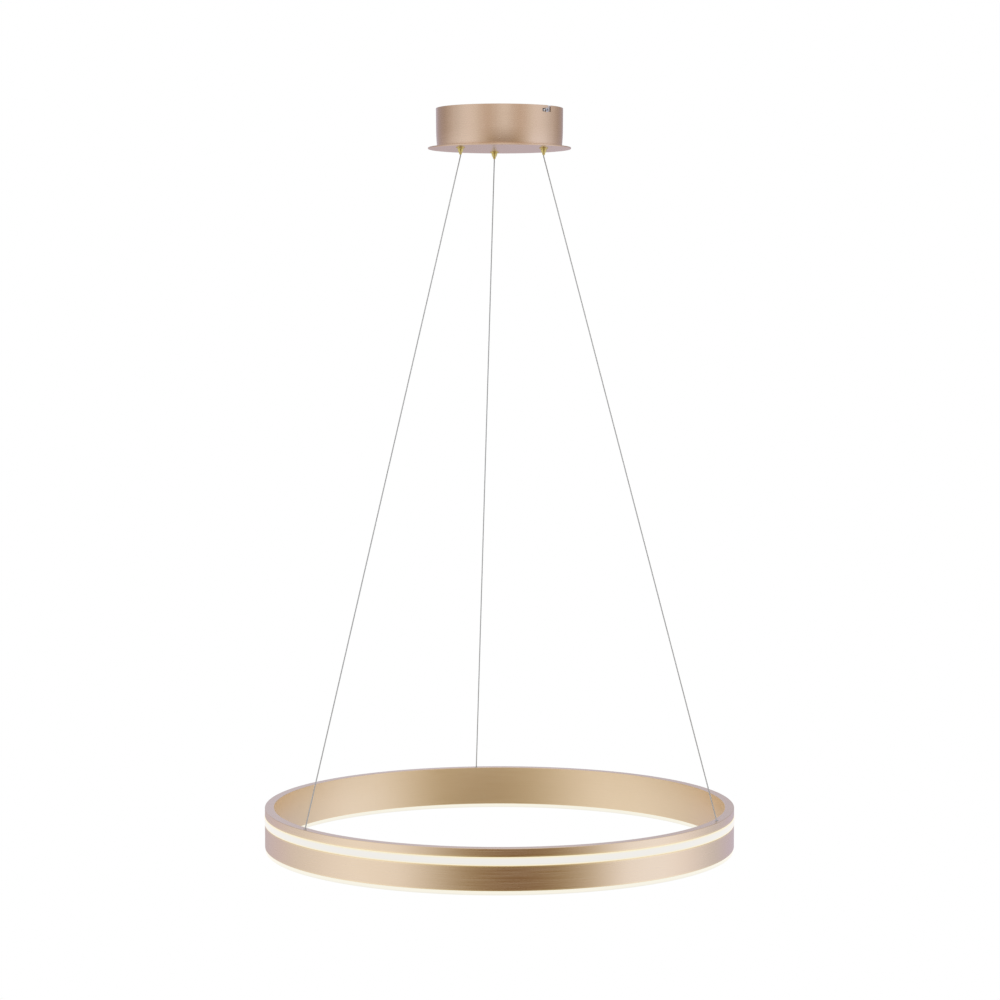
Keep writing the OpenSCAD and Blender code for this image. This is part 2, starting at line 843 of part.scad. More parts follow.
// Output leads from the driver to the two wire tails
module output_leads() {
    color("crimson")
        for (side = [-1, 1])
            tube_along(smooth([
                [side * 3, driver_pos.y - driver_w / 2 + driver_wall + 1, floor_top + port_low],
                [side * 3, driver_pos.y - driver_w / 2 - 2, floor_top + port_low],
                [side * 5, connector_y + 2, floor_top + port_low],
                [side * (connector_end_x - 1.5), connector_y, floor_top + port_low],
                [side * (connector_end_x + connector_in), connector_y, floor_top + port_low]
            ], 5), wire_d);
}

// Ring

// Section of the extrusion, in radius and height, top face at zero
module ring_section() {
    edge = 0.4;
    root = skin / 2;
    difference() {
        polygon([
            [r_in, -edge], [r_in, -ring_h + edge], [r_in + edge, -ring_h], [r_out - edge, -ring_h],
            [r_out, -ring_h + edge], [r_out, -edge], [r_out - edge, 0], [r_in + edge, 0]
        ]);
        band(wall_in, wall_out, top_band_h - skin, skin);
        band(wall_in, r_out + over, side_low, top_band_h);
        band(wall_in, wall_out, bottom_web - skin, side_low + skin);
        band(wall_in, wall_out, ring_h + over, bottom_web);
    }
    for (z = [-top_band_h - rib_h, -side_low - root])
        translate([r_out - rib_inset - rib_w / 2, z])
            square([rib_w, rib_h + root]);
    for (r = [wall_in - root, wall_out - rib_h])
        translate([r, -ring_h + rib_inset])
            square([rib_h + root, rib_w]);
}

module ring_profile() {
    color("burlywood")
        difference() {
            seamed_ring()
                ring_section();
            for (i = [0 : 2])
                at_wire(i, r_mid, -drop - skin - over)
                    cylinder(d = anchor_hole_d, h = skin + 2 * over);
            for (i = [0 : 2])
                at_wire(i, r_mid, -drop - top_band_h - over)
                    cylinder(d = stop_d + 1.2, h = skin + 2 * over);
            for (i = [1, 2])
                at_wire(i, r_mid, -drop - bottom_web - over)
                    cylinder(d = ring_lead_d + 0.8, h = bottom_web - side_low + 2 * over);
            at_splice_screws(-drop - bottom_web - touch)
                splice_screw_shape(hole_fit);
        }
}

// The splice sits in the closed chamber behind the seam and draws both ends together
module ring_splice() {
    splice_turn = 11;
    color("lightgray")
        difference() {
            translate([0, 0, -drop])
                rotate([0, 0, seam_angle - splice_turn / 2])
                    rotate_extrude(angle = splice_turn, $fn = 180)
                        band(wall_in + fit, wall_out - fit, bottom_web - skin - fit, side_low + skin + fit);
            at_splice_screws(-drop - bottom_web - touch)
                splice_screw_shape(thread_fit);
        }
}

module at_splice_screws(z) {
    for (turn = [-4, -1.6, 1.6, 4])
        rotate([0, 0, seam_angle + turn])
            translate([r_mid, 0, z])
                children();
}

// Countersunk screw, head down
module splice_screw_shape(clearance) {
    cylinder(d1 = 5.6 + clearance, d2 = 3 + clearance, h = 1.35);
    cylinder(d = 3 + clearance, h = 8 + clearance);
}

module splice_screws() {
    color("silver")
        at_splice_screws(-drop - bottom_web)
            difference() {
                splice_screw_shape(0);
                translate([0, 0, -over])
                    cylinder(d = 2, h = over + 1, $fn = 6);
            }
}

// The side diffuser is a channel that snaps behind two ribs
module side_section() {
    leg = rib_inset + rib_w + 0.6;
    face_low = side_low - fit;
    face_high = top_band_h + fit;
    face = r_out + side_proud;
    difference() {
        band(r_out - leg, face, face_low, face_high);
        band(r_out - leg - over, face - opal_wall, face_low - opal_wall - rib_h,
            face_high + opal_wall + rib_h);
        for (z = [face_high + rib_h + fit, face_low])
            band(r_out - rib_inset - rib_w / 2 - fit, r_out - rib_inset + rib_w / 2 + fit,
                z, z - rib_h - fit);
    }
}

module side_diffuser() {
    color("white")
        seamed_ring()
            side_section();
}

// The bottom diffuser is a trough whose legs snap into the bottom channel
module bottom_section() {
    leg_top = ring_h - rib_inset - rib_w - 1.2;
    low = ring_h + bottom_proud;
    edge = 1.2;
    difference() {
        union() {
            band(r_in + bottom_inset, r_out - bottom_inset, low, ring_h);
            band(wall_in + fit, wall_out - fit, ring_h, leg_top);
        }
        band(wall_in + fit + opal_wall + rib_h, wall_out - fit - opal_wall - rib_h,
            low - opal_wall, leg_top - over);
        for (r = [wall_in, wall_out - rib_h - fit])
            band(r, r + rib_h + fit, ring_h - rib_inset + fit, ring_h - rib_inset - rib_w - fit);
        for (side = [-1, 1])
            translate([r_mid + side * (ring_wall / 2 - bottom_inset), -low])
                rotate([0, 0, 45])
                    square(edge, center = true);
    }
}

module bottom_diffuser() {
    color("ivory")
        seamed_ring()
            bottom_section();
}

module side_led_tape() {
    tape_w = side_light_h - 2 * side_tape_gap;
    middle = top_band_h + side_light_h / 2;
    color("gold")
        seamed_ring()
            band(wall_in, wall_in + tape_t, middle + tape_w / 2, middle - tape_w / 2);
}

module side_led_bead() {
    middle = top_band_h + side_light_h / 2;
    color("khaki")
        seamed_ring()
            translate([wall_in + tape_t, -middle])
                bead_section();
}

// Flat-backed bead, domed towards +X
module bead_section() {
    sides = 6;
    polygon([
        for (k = [0 : sides])
            bead_r * [sin(180 * k / sides), -cos(180 * k / sides)]
    ]);
}

module bottom_led_tape() {
    tape_w = wall_out - wall_in - 2 * bottom_tape_gap;
    color("gold")
        seamed_ring()
            band(r_mid - tape_w / 2, r_mid + tape_w / 2, bottom_web + tape_t, bottom_web);
}

module bottom_led_bead() {
    color("khaki")
        seamed_ring()
            translate([r_mid, -bottom_web - tape_t])
                rotate([0, 0, -90])
                    bead_section();
}

// Flanged bushes in the ring's top face, spread under it
module anchor_bushes() {
    color("silver")
        for (i = [0 : 2])
            at_wire(i, r_mid, -drop)
                rotate_extrude()
                    polygon([
                        [wire_d / 2 + 0.9, bush_flange_t], [bush_flange_d / 2 - 0.3, bush_flange_t],
                        [bush_flange_d / 2, bush_flange_t - 0.2], [bush_flange_d / 2, 0],
                        [anchor_hole_d / 2 - 0.02, 0], [anchor_hole_d / 2 - 0.02, -skin],
                        [anchor_hole_d / 2 + 0.5, -skin - 0.02], [anchor_hole_d / 2 + 0.3, -skin - 0.6],
                        [anchor_hole_d / 2 - 0.02, -bush_l], [bush_bore_d / 2, -bush_l],
                        [bush_bore_d / 2, -1]
                    ]);
}

// Crimped sleeves that stop the wires under their bushes
module wire_stops() {
    color("silver")
        for (i = [0 : 2])
            at_wire(i, r_mid, -drop - bush_l - touch)
                union() {
                    translate([0, 0, -stop_l])
                        cylinder(d = stop_d, h = stop_l);
                    cylinder(d = wire_d, h = bush_l - wire_in - stop_gap);
                }
}

// The two live anchors feed both tapes through holes in the webs
module ring_leads() {
    top = bush_l + stop_l + touch;
    middle = top_band_h + side_light_h / 2;
    color("crimson")
        for (i = [1, 2])
            at_wire(i, r_mid, -drop) {
                translate([0, 0, -bottom_web])
                    cylinder(d = ring_lead_d, h = bottom_web - top);
                translate([0, 0, -middle - 2.4])
                    rotate([0, -90, 0])
                        cylinder(d = ring_lead_d * 0.7, h = r_mid - wall_in - tape_t);
            }
}

ceiling_bracket();
canopy_screws();
canopy_housing();
canopy_plate();
gripper_nuts();
gripper_body(0);  // gripper_body_back
gripper_body(1);  // gripper_body_left
gripper_body(2);  // gripper_body_right
gripper_cap(0);  // gripper_cap_back
gripper_cap(1);  // gripper_cap_left
gripper_cap(2);  // gripper_cap_right
gripper_spring(0);  // gripper_spring_back
gripper_spring(1);  // gripper_spring_left
gripper_spring(2);  // gripper_spring_right
plunger(0);  // plunger_back
plunger(1);  // plunger_left
plunger(2);  // plunger_right
clamp_balls(0);  // clamp_balls_back
clamp_balls(1);  // clamp_balls_left
clamp_balls(2);  // clamp_balls_right
wire(0);  // wire_back
wire(1);  // wire_left
wire(2);  // wire_right
wire_tail_back();
wire_tail(1);  // wire_tail_left
wire_tail(2);  // wire_tail_right
tail_connectors();
driver_base();
driver_cover();
driver_board();
driver_screws();
output_leads();
terminal_block();
terminal_screws();
live_lead();
neutral_lead();
earth_lead();
earth_stud();
earth_nut();
ring_profile();
ring_splice();
splice_screws();
side_diffuser();
bottom_diffuser();
side_led_tape();
side_led_bead();
bottom_led_tape();
bottom_led_bead();
anchor_bushes();
wire_stops();
ring_leads();
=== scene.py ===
# %% [markdown]
# # Ring pendant light
# The light is one thin metal ring on three wires below a round canopy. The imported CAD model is
# the frame: every piece made here lies where the CAD says, in metres. Where the CAD solid already
# has the right form, its mesh is copied and softened at its edges. What follows a rule, such as
# the ring's extrusion, the screws and the springs, is grown with Geometry Nodes.

# %% Load the frame
import math
import bmesh
import bpy
from mathutils import Matrix, Vector


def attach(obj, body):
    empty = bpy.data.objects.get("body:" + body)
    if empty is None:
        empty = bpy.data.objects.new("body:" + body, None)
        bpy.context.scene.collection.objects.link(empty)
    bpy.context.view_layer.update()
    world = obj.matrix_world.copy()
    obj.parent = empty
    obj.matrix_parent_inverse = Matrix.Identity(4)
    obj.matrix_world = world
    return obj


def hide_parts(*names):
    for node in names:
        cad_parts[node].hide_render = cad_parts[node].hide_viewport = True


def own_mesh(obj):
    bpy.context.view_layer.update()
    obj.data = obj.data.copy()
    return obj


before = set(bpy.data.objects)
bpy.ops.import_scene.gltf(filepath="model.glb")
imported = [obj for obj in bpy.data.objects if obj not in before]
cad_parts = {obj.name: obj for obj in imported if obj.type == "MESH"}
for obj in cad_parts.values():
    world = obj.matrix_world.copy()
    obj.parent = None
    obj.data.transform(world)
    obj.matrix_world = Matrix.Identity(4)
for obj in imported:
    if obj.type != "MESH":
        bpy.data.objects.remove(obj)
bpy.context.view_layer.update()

# %% [markdown]
# ## Camera
# The photograph was measured as one pinhole camera: it stands 3.5 m away, a little above the
# ring, and looks down by 3.7 degrees. That angle is what opens the ring into a flat ellipse.

# %% Camera
CAMERA_PLACE = (0.00064, -3.476, -0.2708)
LOOK_DOWN = 3.70
camera_data = bpy.data.cameras.new("camera")
camera_data.sensor_width = 36.0
camera_data.lens = 98.41
camera = bpy.data.objects.new("camera", camera_data)
camera.location = CAMERA_PLACE
camera.rotation_euler = (math.radians(90 - LOOK_DOWN), 0.0, 0.0)
bpy.context.scene.collection.objects.link(camera)
bpy.context.scene.camera = camera
print("camera is", -CAMERA_PLACE[1], "m away and looks down by", LOOK_DOWN, "degrees")

# %% [markdown]
# ## Helpers
# A colour is written as a hex value, as a paint card gives it, and turned to linear light once.
# One function adds a node with its settings and its links, for shaders and for geometry alike.

# %% Colour and node helpers
MM = 0.001


def linear(code):
    """A hex colour in linear light, with full opacity."""
    channels = [int(code[i:i + 2], 16) / 255 for i in (1, 3, 5)]
    return tuple(c / 12.92 if c <= 0.04045 else ((c + 0.055) / 1.055) ** 2.4
                 for c in channels) + (1.0,)


def add_node(tree, kind, inputs=(), **settings):
    """Adds a node. Its inputs are a list in the order of its sockets, or go by name or number."""
    node = tree.nodes.new(kind)
    for key, value in settings.items():
        setattr(node, key, value)
    for key, value in (inputs.items() if isinstance(inputs, dict) else enumerate(inputs)):
        if isinstance(value, bpy.types.NodeSocket):
            tree.links.new(value, node.inputs[key])
        else:
            node.inputs[key].default_value = value
    return node


def new_material(name):
    """A material, its empty node tree, and where a point lies on the object."""
    material = bpy.data.materials.new(name)
    material.use_nodes = True
    tree = material.node_tree
    tree.nodes.clear()
    return material, tree, add_node(tree, "ShaderNodeTexCoord").outputs["Object"]


print("middle grey in linear light is", round(linear("#808080")[0], 3))

# %% [markdown]
# ## Studio
# A product photograph of satin metal is a photograph of the studio around it. Here the world
# carries that studio: pale walls at both sides, a dark warm strip behind the camera and a greyer
# wall behind the lamp. The camera itself sees plain white.

# %% Directions in the studio
# Both sides are mirrored at a line that lies 8 degrees to the right of the camera
MIRROR_TURN = math.radians(8)
world = bpy.data.worlds.new("studio")
bpy.context.scene.world = world
world.use_nodes = True
tree = world.node_tree
tree.nodes.clear()
direction = add_node(tree, "ShaderNodeTexCoord").outputs["Generated"]
parts = add_node(tree, "ShaderNodeSeparateXYZ", [direction]).outputs
front = add_node(tree, "ShaderNodeMath", [parts[1], -1.0], operation="MULTIPLY").outputs[0]
turn = add_node(tree, "ShaderNodeMath", [parts[0], front], operation="ARCTAN2").outputs[0]
to_right = add_node(tree, "ShaderNodeMath", [turn, MIRROR_TURN], operation="SUBTRACT").outputs[0]
to_side = add_node(tree, "ShaderNodeMath", [to_right], operation="ABSOLUTE").outputs[0]
side_share = add_node(tree, "ShaderNodeMath", [to_side, math.pi], operation="DIVIDE").outputs[0]
right_share = add_node(tree, "ShaderNodeMath", [turn, math.pi], operation="DIVIDE").outputs[0]
height = add_node(tree, "ShaderNodeMath", [parts[2]], operation="ABSOLUTE").outputs[0]


# %% Walls of the studio
def studio_wall(place, stops):
    """Colours against an angle in degrees, where place is that angle as a share of 180."""
    node = add_node(tree, "ShaderNodeValToRGB", [place])
    ramp = node.color_ramp
    while len(ramp.elements) < len(stops):
        ramp.elements.new(0.5)
    for element, (angle, colour) in zip(ramp.elements, stops):
        element.position = angle / 180
        element.color = colour + (1.0,)
    return node.outputs[0]


both_sides = studio_wall(side_share, [
    (0, (0.20, 0.11, 0.035)), (12, (0.25, 0.16, 0.07)), (22, (0.36, 0.29, 0.18)),
    (36, (0.63, 0.61, 0.57)), (43, (0.78, 0.79, 0.82)), (57, (1.00, 1.06, 1.20)),
    (80, (1.06, 1.14, 1.30)), (100, (0.98, 1.04, 1.20)), (122, (0.84, 0.88, 1.00)),
    (142, (0.74, 0.72, 0.88)), (180, (0.58, 0.52, 0.58))])
# The right-hand wall is paler beside the lamp and falls off sooner behind it
right_side = studio_wall(right_share, [
    (0, (1.0, 1.0, 1.0)), (45, (1.0, 1.0, 1.0)), (61, (1.08, 1.12, 1.22)),
    (79, (1.04, 1.09, 1.20)), (99, (1.0, 1.0, 1.06)), (126, (0.82, 0.83, 0.88)),
    (143, (0.84, 0.83, 0.92)), (180, (1.0, 1.0, 1.0))])
low_wall = add_node(tree, "ShaderNodeMix", {0: 1.0, 6: both_sides, 7: right_side},
                    data_type="RGBA", blend_type="MULTIPLY").outputs[2]
# Higher up, a pale ceiling light stands above the dark strip, and the back is cool
high_wall = studio_wall(side_share, [
    (0, (1.10, 1.18, 1.30)), (14, (0.92, 0.95, 1.03)), (27, (0.74, 0.68, 0.66)),
    (40, (0.78, 0.75, 0.78)), (50, (0.86, 0.90, 0.94)), (65, (0.94, 0.97, 1.08)),
    (78, (0.86, 0.90, 0.98)), (90, (0.74, 0.77, 0.84)), (104, (0.66, 0.64, 0.66)),
    (122, (0.46, 0.41, 0.39)), (148, (0.45, 0.42, 0.48)), (172, (0.64, 0.65, 0.82))])

# %% World
rise = add_node(tree, "ShaderNodeMapRange", {0: parts[2], 1: -0.12, 2: 0.03},
                interpolation_type="SMOOTHSTEP").outputs[0]
walls = add_node(tree, "ShaderNodeMix", {0: rise, 6: low_wall, 7: high_wall}, data_type="RGBA")
steep = add_node(tree, "ShaderNodeMapRange", {0: height, 1: 0.35, 2: 0.85}).outputs[0]
upper = add_node(tree, "ShaderNodeMix",
                 {0: steep, 6: walls.outputs[2], 7: (0.88, 0.89, 0.93, 1.0)}, data_type="RGBA")
rays = add_node(tree, "ShaderNodeLightPath").outputs
white = add_node(tree, "ShaderNodeMath", [rays["Is Camera Ray"], rays["Is Transmission Ray"]],
                 operation="MAXIMUM").outputs[0]
room = add_node(tree, "ShaderNodeMix",
                {0: rays["Is Glossy Ray"], 6: (0.62, 0.62, 0.62, 1.0), 7: upper.outputs[2]},
                data_type="RGBA")
seen = add_node(tree, "ShaderNodeMix", {0: white, 6: room.outputs[2], 7: (1, 1, 1, 1)},
                data_type="RGBA")
shown = add_node(tree, "ShaderNodeBackground", [seen.outputs[2], 1.0])
add_node(tree, "ShaderNodeOutputWorld", [shown.outputs[0]])
print("world has", len(tree.nodes), "nodes")

# %% [markdown]
# ## Floor and lamps
# The floor is that of a room 2.6 m high. It is pale, plain white to the camera, and left out of
# reflections, where the room stands for it. Two large soft lamps give the plain parts some shape.

# %% Floor
bpy.context.scene.view_settings.view_transform = "Standard"
FLOOR_HALF, FLOOR_Z = 14.0, -2.60
# Matt paint: it takes the soft light and keeps the shadow
floor_paint, tree = new_material("matt_pale_paint")[:2]
rays = add_node(tree, "ShaderNodeLightPath").outputs
clear = add_node(tree, "ShaderNodeMath", [rays["Is Camera Ray"], rays["Is Transmission Ray"]],
                 operation="MAXIMUM").outputs[0]
paint = add_node(tree, "ShaderNodeBsdfDiffuse", [linear("#E4E4E4")])
glow = add_node(tree, "ShaderNodeEmission", [(1, 1, 1, 1), 1.0])
both = add_node(tree, "ShaderNodeMixShader", [clear, paint.outputs[0], glow.outputs[0]])
add_node(tree, "ShaderNodeOutputMaterial", [both.outputs[0]])
floor_mesh = bpy.data.meshes.new("floor")
floor_mesh.from_pydata([(x * FLOOR_HALF, y * FLOOR_HALF, FLOOR_Z)
                        for x, y in ((-1, -1), (1, -1), (1, 1), (-1, 1))], [], [(0, 1, 2, 3)])
floor = bpy.data.objects.new("floor", floor_mesh)
floor.data.materials.append(floor_paint)
bpy.context.scene.collection.objects.link(floor)
floor.visible_glossy = False


# %% Lamps
def soft_lamp(name, place, target, size, power):
    """A round lamp, in metres and watts, that no camera or reflection sees."""
    lamp_data = bpy.data.lights.new(name, "AREA")
    lamp_data.shape = "DISK"
    lamp_data.size = size
    lamp_data.energy = power
    lamp = bpy.data.objects.new(name, lamp_data)
    lamp.location = place
    lamp.rotation_euler = (Vector(target) - Vector(place)).to_track_quat("-Z", "Y").to_euler()
    lamp.visible_glossy = False
    lamp.visible_camera = False
    bpy.context.scene.collection.objects.link(lamp)


LAMP_D = 1.6
soft_lamp("lamp_left", (-2.2, -2.4, 1.6), (0, 0, -0.5), LAMP_D, 55)
soft_lamp("lamp_right", (2.4, -1.6, 0.6), (0, 0, -0.6), LAMP_D, 30)
print("two soft lamps,", LAMP_D, "m across")

# %% [markdown]
# ## Sizes
# These repeat the values of the CAD source, in millimetres.
# Heights are below the ceiling face.

# %% Sizes
RING_TOP = 886.5
R_OUT, R_IN = 300.0, 288.3
R_MID = (R_OUT + R_IN) / 2
SKIN = 1.4
SLOT_TOP, SLOT_LOW = 10.2, 20.6
RING_H, CHANNEL_TOP = 50.5, 38.5
PLATE_LOW = -51.2
FLOOR_TOP = -48.1
GRIPPER_R = 60.5
PLUNGER_TIP = 9.0
TIP_Z = PLATE_LOW - PLUNGER_TIP
WIRE_D, WIRE_BEND, WIRE_LEAD, WIRE_IN = 1.5, 8.0, 0.5, 0.8
WIRES = {"back": 96.3, "left": 216.3, "right": 336.3}
SCREW_ANGLE = -43.6
SEAM_ANGLE, SEAM_GAP = 126.0, 0.15
SEAM_TURN = 2 * math.asin(SEAM_GAP / 2 / R_IN)
print("ring is", 2 * R_OUT, "mm across and", RING_H, "mm high, and hangs at", RING_TOP, "mm")

# %% [markdown]
# ## Finishing a piece
# Each piece gets its material, rides on its body and hides the CAD nodes it stands for. Small
# real edges are never quite sharp, so copies of CAD solids get a narrow bevel, which catches a
# line of light. Weighted normals keep the flat faces flat beside it.

# %% Placing a piece
def place(name, mesh, material, body, slot, *nodes):
    """Makes a piece of one material, on its body, for the CAD nodes it stands for."""
    mesh.materials.clear()
    mesh.materials.append(material)
    for polygon in mesh.polygons:
        polygon.material_index = 0
    piece = bpy.data.objects.new(name, mesh)
    bpy.context.scene.collection.objects.link(piece)
    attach(piece, body)
    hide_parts(*nodes)
    print(name, "rides on", body, "and has", len(mesh.polygons), "faces")
    return piece


# %% Softening
def evaluated(name, mesh, setup):
    """The mesh that is left when a passing object has run the modifiers that setup adds."""
    maker = bpy.data.objects.new(name + "_maker", mesh)
    bpy.context.scene.collection.objects.link(maker)
    setup(maker)
    graph = bpy.context.evaluated_depsgraph_get()
    result = bpy.data.meshes.new_from_object(maker.evaluated_get(graph), depsgraph=graph,
                                             preserve_all_data_layers=True)
    result.name = name
    bpy.data.objects.remove(maker)
    return result


def softened(name, mesh, width, angle=35.0):
    """Smooths a mesh, and bevels its edges where width, in millimetres, isn't nothing."""
    def setup(maker):
        if width:
            bevel = maker.modifiers.new("edges", "BEVEL")
            bevel.width = width * MM
            bevel.segments = 2
            bevel.limit_method = "ANGLE"
            bevel.angle_limit = math.radians(angle)
            bevel.use_clamp_overlap = True
        normals = maker.modifiers.new("normals", "WEIGHTED_NORMAL")
        normals.keep_sharp = True
        normals.weight = 90

    for polygon in mesh.polygons:
        polygon.use_smooth = True
    if not width:
        mesh.set_sharp_from_angle(angle=math.radians(angle))
    return evaluated(name, mesh, setup)


# %% Mending, and copies of CAD solids
def mended(mesh, merge=0.0):
    """Joins points that are closer than merge, in metres, and turns every face outwards."""
    shape = bmesh.new()
    shape.from_mesh(mesh)
    if merge:
        bmesh.ops.remove_doubles(shape, verts=shape.verts, dist=merge)
    bmesh.ops.recalc_face_normals(shape, faces=shape.faces)
    shape.to_mesh(mesh)
    shape.free()
    return mesh


def from_cad(node, width):
    """A softened copy of a CAD solid, whose flat faces are joined from their triangles first."""
    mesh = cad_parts[node].data.copy()
    shape = bmesh.new()
    shape.from_mesh(mesh)
    bmesh.ops.remove_doubles(shape, verts=shape.verts, dist=2e-6)
    bmesh.ops.dissolve_limit(shape, angle_limit=math.radians(0.6), verts=shape.verts,
                             edges=shape.edges)
    shape.to_mesh(mesh)
    shape.free()
    return softened(node + "_soft", mesh, width)


def dressed(node, material, body, slot, width):
    return place(node + "_piece", from_cad(node, width), material, body, slot, node)


# %% [markdown]
# ## Brushed and turned metal
# The ring is brushed along its length and anodised. Brushing leaves hair-fine lines, which blur
# a reflection across them. The lines are drawn about ten times as coarse as real ones, because
# finer lines would vanish at this distance. The canopy is spun and lacquered, so its lines are
# fainter still and its gloss is softer.

# %% Metal with lines around the axis
def lined_metal(name, light, dark, roughness, spread, line_mm, length_mm, depth_mm):
    """Metal whose lines run around the axis, with their spacing, length and depth."""
    material, tree, where = new_material(name)
    xyz = add_node(tree, "ShaderNodeSeparateXYZ", [where]).outputs
    flat = add_node(tree, "ShaderNodeCombineXYZ", [xyz[0], xyz[1]]).outputs[0]
    radius = add_node(tree, "ShaderNodeVectorMath", [flat], operation="LENGTH").outputs["Value"]
    across = add_node(tree, "ShaderNodeMath", [xyz[2], radius], operation="ADD").outputs[0]
    grain = add_node(tree, "ShaderNodeCombineXYZ", [
        add_node(tree, "ShaderNodeMath", [way, size * MM], operation="DIVIDE").outputs[0]
        for way, size in ((xyz[0], length_mm), (xyz[1], length_mm), (across, line_mm))])
    lines = add_node(tree, "ShaderNodeTexNoise",
                     {"Vector": grain.outputs[0], "Scale": 1.0, "Detail": 3.0}).outputs[0]
    clouds = add_node(tree, "ShaderNodeTexNoise",
                      {"Vector": where, "Scale": 22.0, "Detail": 2.0}).outputs[0]
    soft = add_node(tree, "ShaderNodeMath", [clouds, 0.3], operation="MULTIPLY").outputs[0]
    tone = add_node(tree, "ShaderNodeMath", [lines, 0.7, soft],
                    operation="MULTIPLY_ADD").outputs[0]
    mixed = add_node(tree, "ShaderNodeMix", {0: tone, 6: linear(dark), 7: linear(light)},
                     data_type="RGBA")
    rough = add_node(tree, "ShaderNodeMapRange",
                     {0: lines, 1: 0.3, 2: 0.7, 3: roughness - spread, 4: roughness + spread})
    bump = add_node(tree, "ShaderNodeBump",
                    {"Strength": 0.35, "Distance": depth_mm * MM, "Height": lines})
    shader = add_node(tree, "ShaderNodeBsdfPrincipled",
                      {"Base Color": mixed.outputs[2], "Metallic": 1.0,
                       "Roughness": rough.outputs[0], "Normal": bump.outputs[0]})
    add_node(tree, "ShaderNodeOutputMaterial", [shader.outputs[0]])
    return material, tree, shader, xyz, radius


# %% Metal of the ring
# Strengths of the painted glow: beside the opal lines, and on the inner face
SPILL, PAINTED_ROOM_GLOW = 0.11, 0.05
SIDE_REACH, BOTTOM_REACH = 2.6, 2.0
# Brushed aluminium, anodised in a pale brass colour: warm, with a broad soft gloss
ring_metal, tree, shader, xyz, radius = lined_metal(
    "brushed_anodised_aluminium", "#EAD0B0", "#E0C4A0", 0.24, 0.04, 0.9, 55, 0.02)
# Light from the opal lines spills over the edges of the extrusion beside them, painted on the
# metal as a warm glow
outside = add_node(tree, "ShaderNodeMapRange",
                   {0: radius, 1: (R_OUT - 0.9) * MM, 2: (R_OUT - 0.3) * MM}).outputs[0]
spill = 0.0
for edge, reach, side in ((-RING_TOP - SLOT_TOP, SIDE_REACH, outside),
                          (-RING_TOP - SLOT_LOW, SIDE_REACH, outside),
                          (-RING_TOP - RING_H, BOTTOM_REACH, 1.0)):
    above = add_node(tree, "ShaderNodeMath", [xyz[2], edge * MM], operation="SUBTRACT").outputs[0]
    gap = add_node(tree, "ShaderNodeMath", [above], operation="ABSOLUTE").outputs[0]
    near = add_node(tree, "ShaderNodeMapRange", {0: gap, 1: 0.0, 2: reach * MM, 3: 1.0, 4: 0.0},
                    interpolation_type="SMOOTHSTEP").outputs[0]
    kept = add_node(tree, "ShaderNodeMath", [near, side], operation="MULTIPLY").outputs[0]
    spill = add_node(tree, "ShaderNodeMath", [spill, kept], operation="MAXIMUM").outputs[0]
# The face toward the middle of the ring is brushed more coarsely and has a faint painted glow for
# room light
inside = add_node(tree, "ShaderNodeMapRange",
                  {0: radius, 1: (R_IN + 0.5) * MM, 2: (R_IN + 0.2) * MM}).outputs[0]
spilt = add_node(tree, "ShaderNodeMath", [spill, SPILL], operation="MULTIPLY").outputs[0]
painted_room_glow = add_node(tree, "ShaderNodeMath", [inside, PAINTED_ROOM_GLOW], operation="MULTIPLY").outputs[0]
glow = add_node(tree, "ShaderNodeMath", [spilt, painted_room_glow], operation="MAXIMUM").outputs[0]
# The painted glow is the metal's emission, in a warm colour
tree.links.new(glow, shader.inputs["Emission Strength"])
shader.inputs["Emission Color"].default_value = linear("#E4E076")
brushed = shader.inputs["Roughness"].links[0].from_socket
coarse = add_node(tree, "ShaderNodeMapRange", {0: inside, 3: 0.0, 4: 0.14}).outputs[0]
rougher = add_node(tree, "ShaderNodeMath", [brushed, coarse], operation="ADD").outputs[0]
tree.links.new(rougher, shader.inputs["Roughness"])
print("ring metal has", len(tree.nodes), "nodes")

# %% Metal of the canopy and the grippers
# Spun steel under a satin lacquer: pinker, softer and less bright than the ring
canopy_metal = lined_metal(
    "lacquered_spun_steel", "#DEC0A4", "#D8BA9E", 0.27, 0.03, 1.2, 40, 0.004)[0]
# Turned brass, left bare: yellow, with fine rings from the lathe
brass = lined_metal("turned_brass", "#D9C680", "#CBB56C", 0.32, 0.05, 0.35, 6, 0.01)[0]
print("around the axis:", ring_metal.name, canopy_metal.name, brass.name)

# %% [markdown]
# ## Zinc and galvanising
# The bracket is galvanised sheet, whose zinc freezes into dull flakes. Screws and nuts carry a
# thin bright zinc plating instead.

# %% Zinc finishes
def zinc(name, light, dark, roughness, flake_mm, metallic=1.0):
    """Metal with flakes of one size, each a little lighter or duller than the next."""
    material, tree, where = new_material(name)
    flakes = add_node(tree, "ShaderNodeTexVoronoi",
                      {"Vector": where, "Scale": 1000.0 / flake_mm}).outputs["Color"]
    level = add_node(tree, "ShaderNodeSeparateColor", [flakes]).outputs[0]
    tone = add_node(tree, "ShaderNodeMix", {0: level, 6: linear(dark), 7: linear(light)},
                    data_type="RGBA")
    rough = add_node(tree, "ShaderNodeMapRange", {0: level, 3: roughness - 0.08,
                                                  4: roughness + 0.08})
    shader = add_node(tree, "ShaderNodeBsdfPrincipled",
                      {"Base Color": tone.outputs[2], "Metallic": metallic,
                       "Roughness": rough.outputs[0]})
    add_node(tree, "ShaderNodeOutputMaterial", [shader.outputs[0]])
    return material


# Galvanised sheet, dulled to an oxide: matt grey, with flakes of 5 mm
galvanised = zinc("galvanised_sheet_steel", "#D2CCCC", "#BAB4B4", 0.50, 5, 0.6)
# Bright zinc plating: cool and even, with a soft shine
zinc_plate = zinc("bright_zinc_plated_steel", "#C8C7CA", "#B8B6BA", 0.30, 1.5)
# Ground and polished steel: nearly a mirror
ball_steel = zinc("polished_bearing_steel", "#D8D8DA", "#CFCFD2", 0.12, 2)
print("zinc and steel:", galvanised.name, zinc_plate.name, ball_steel.name)

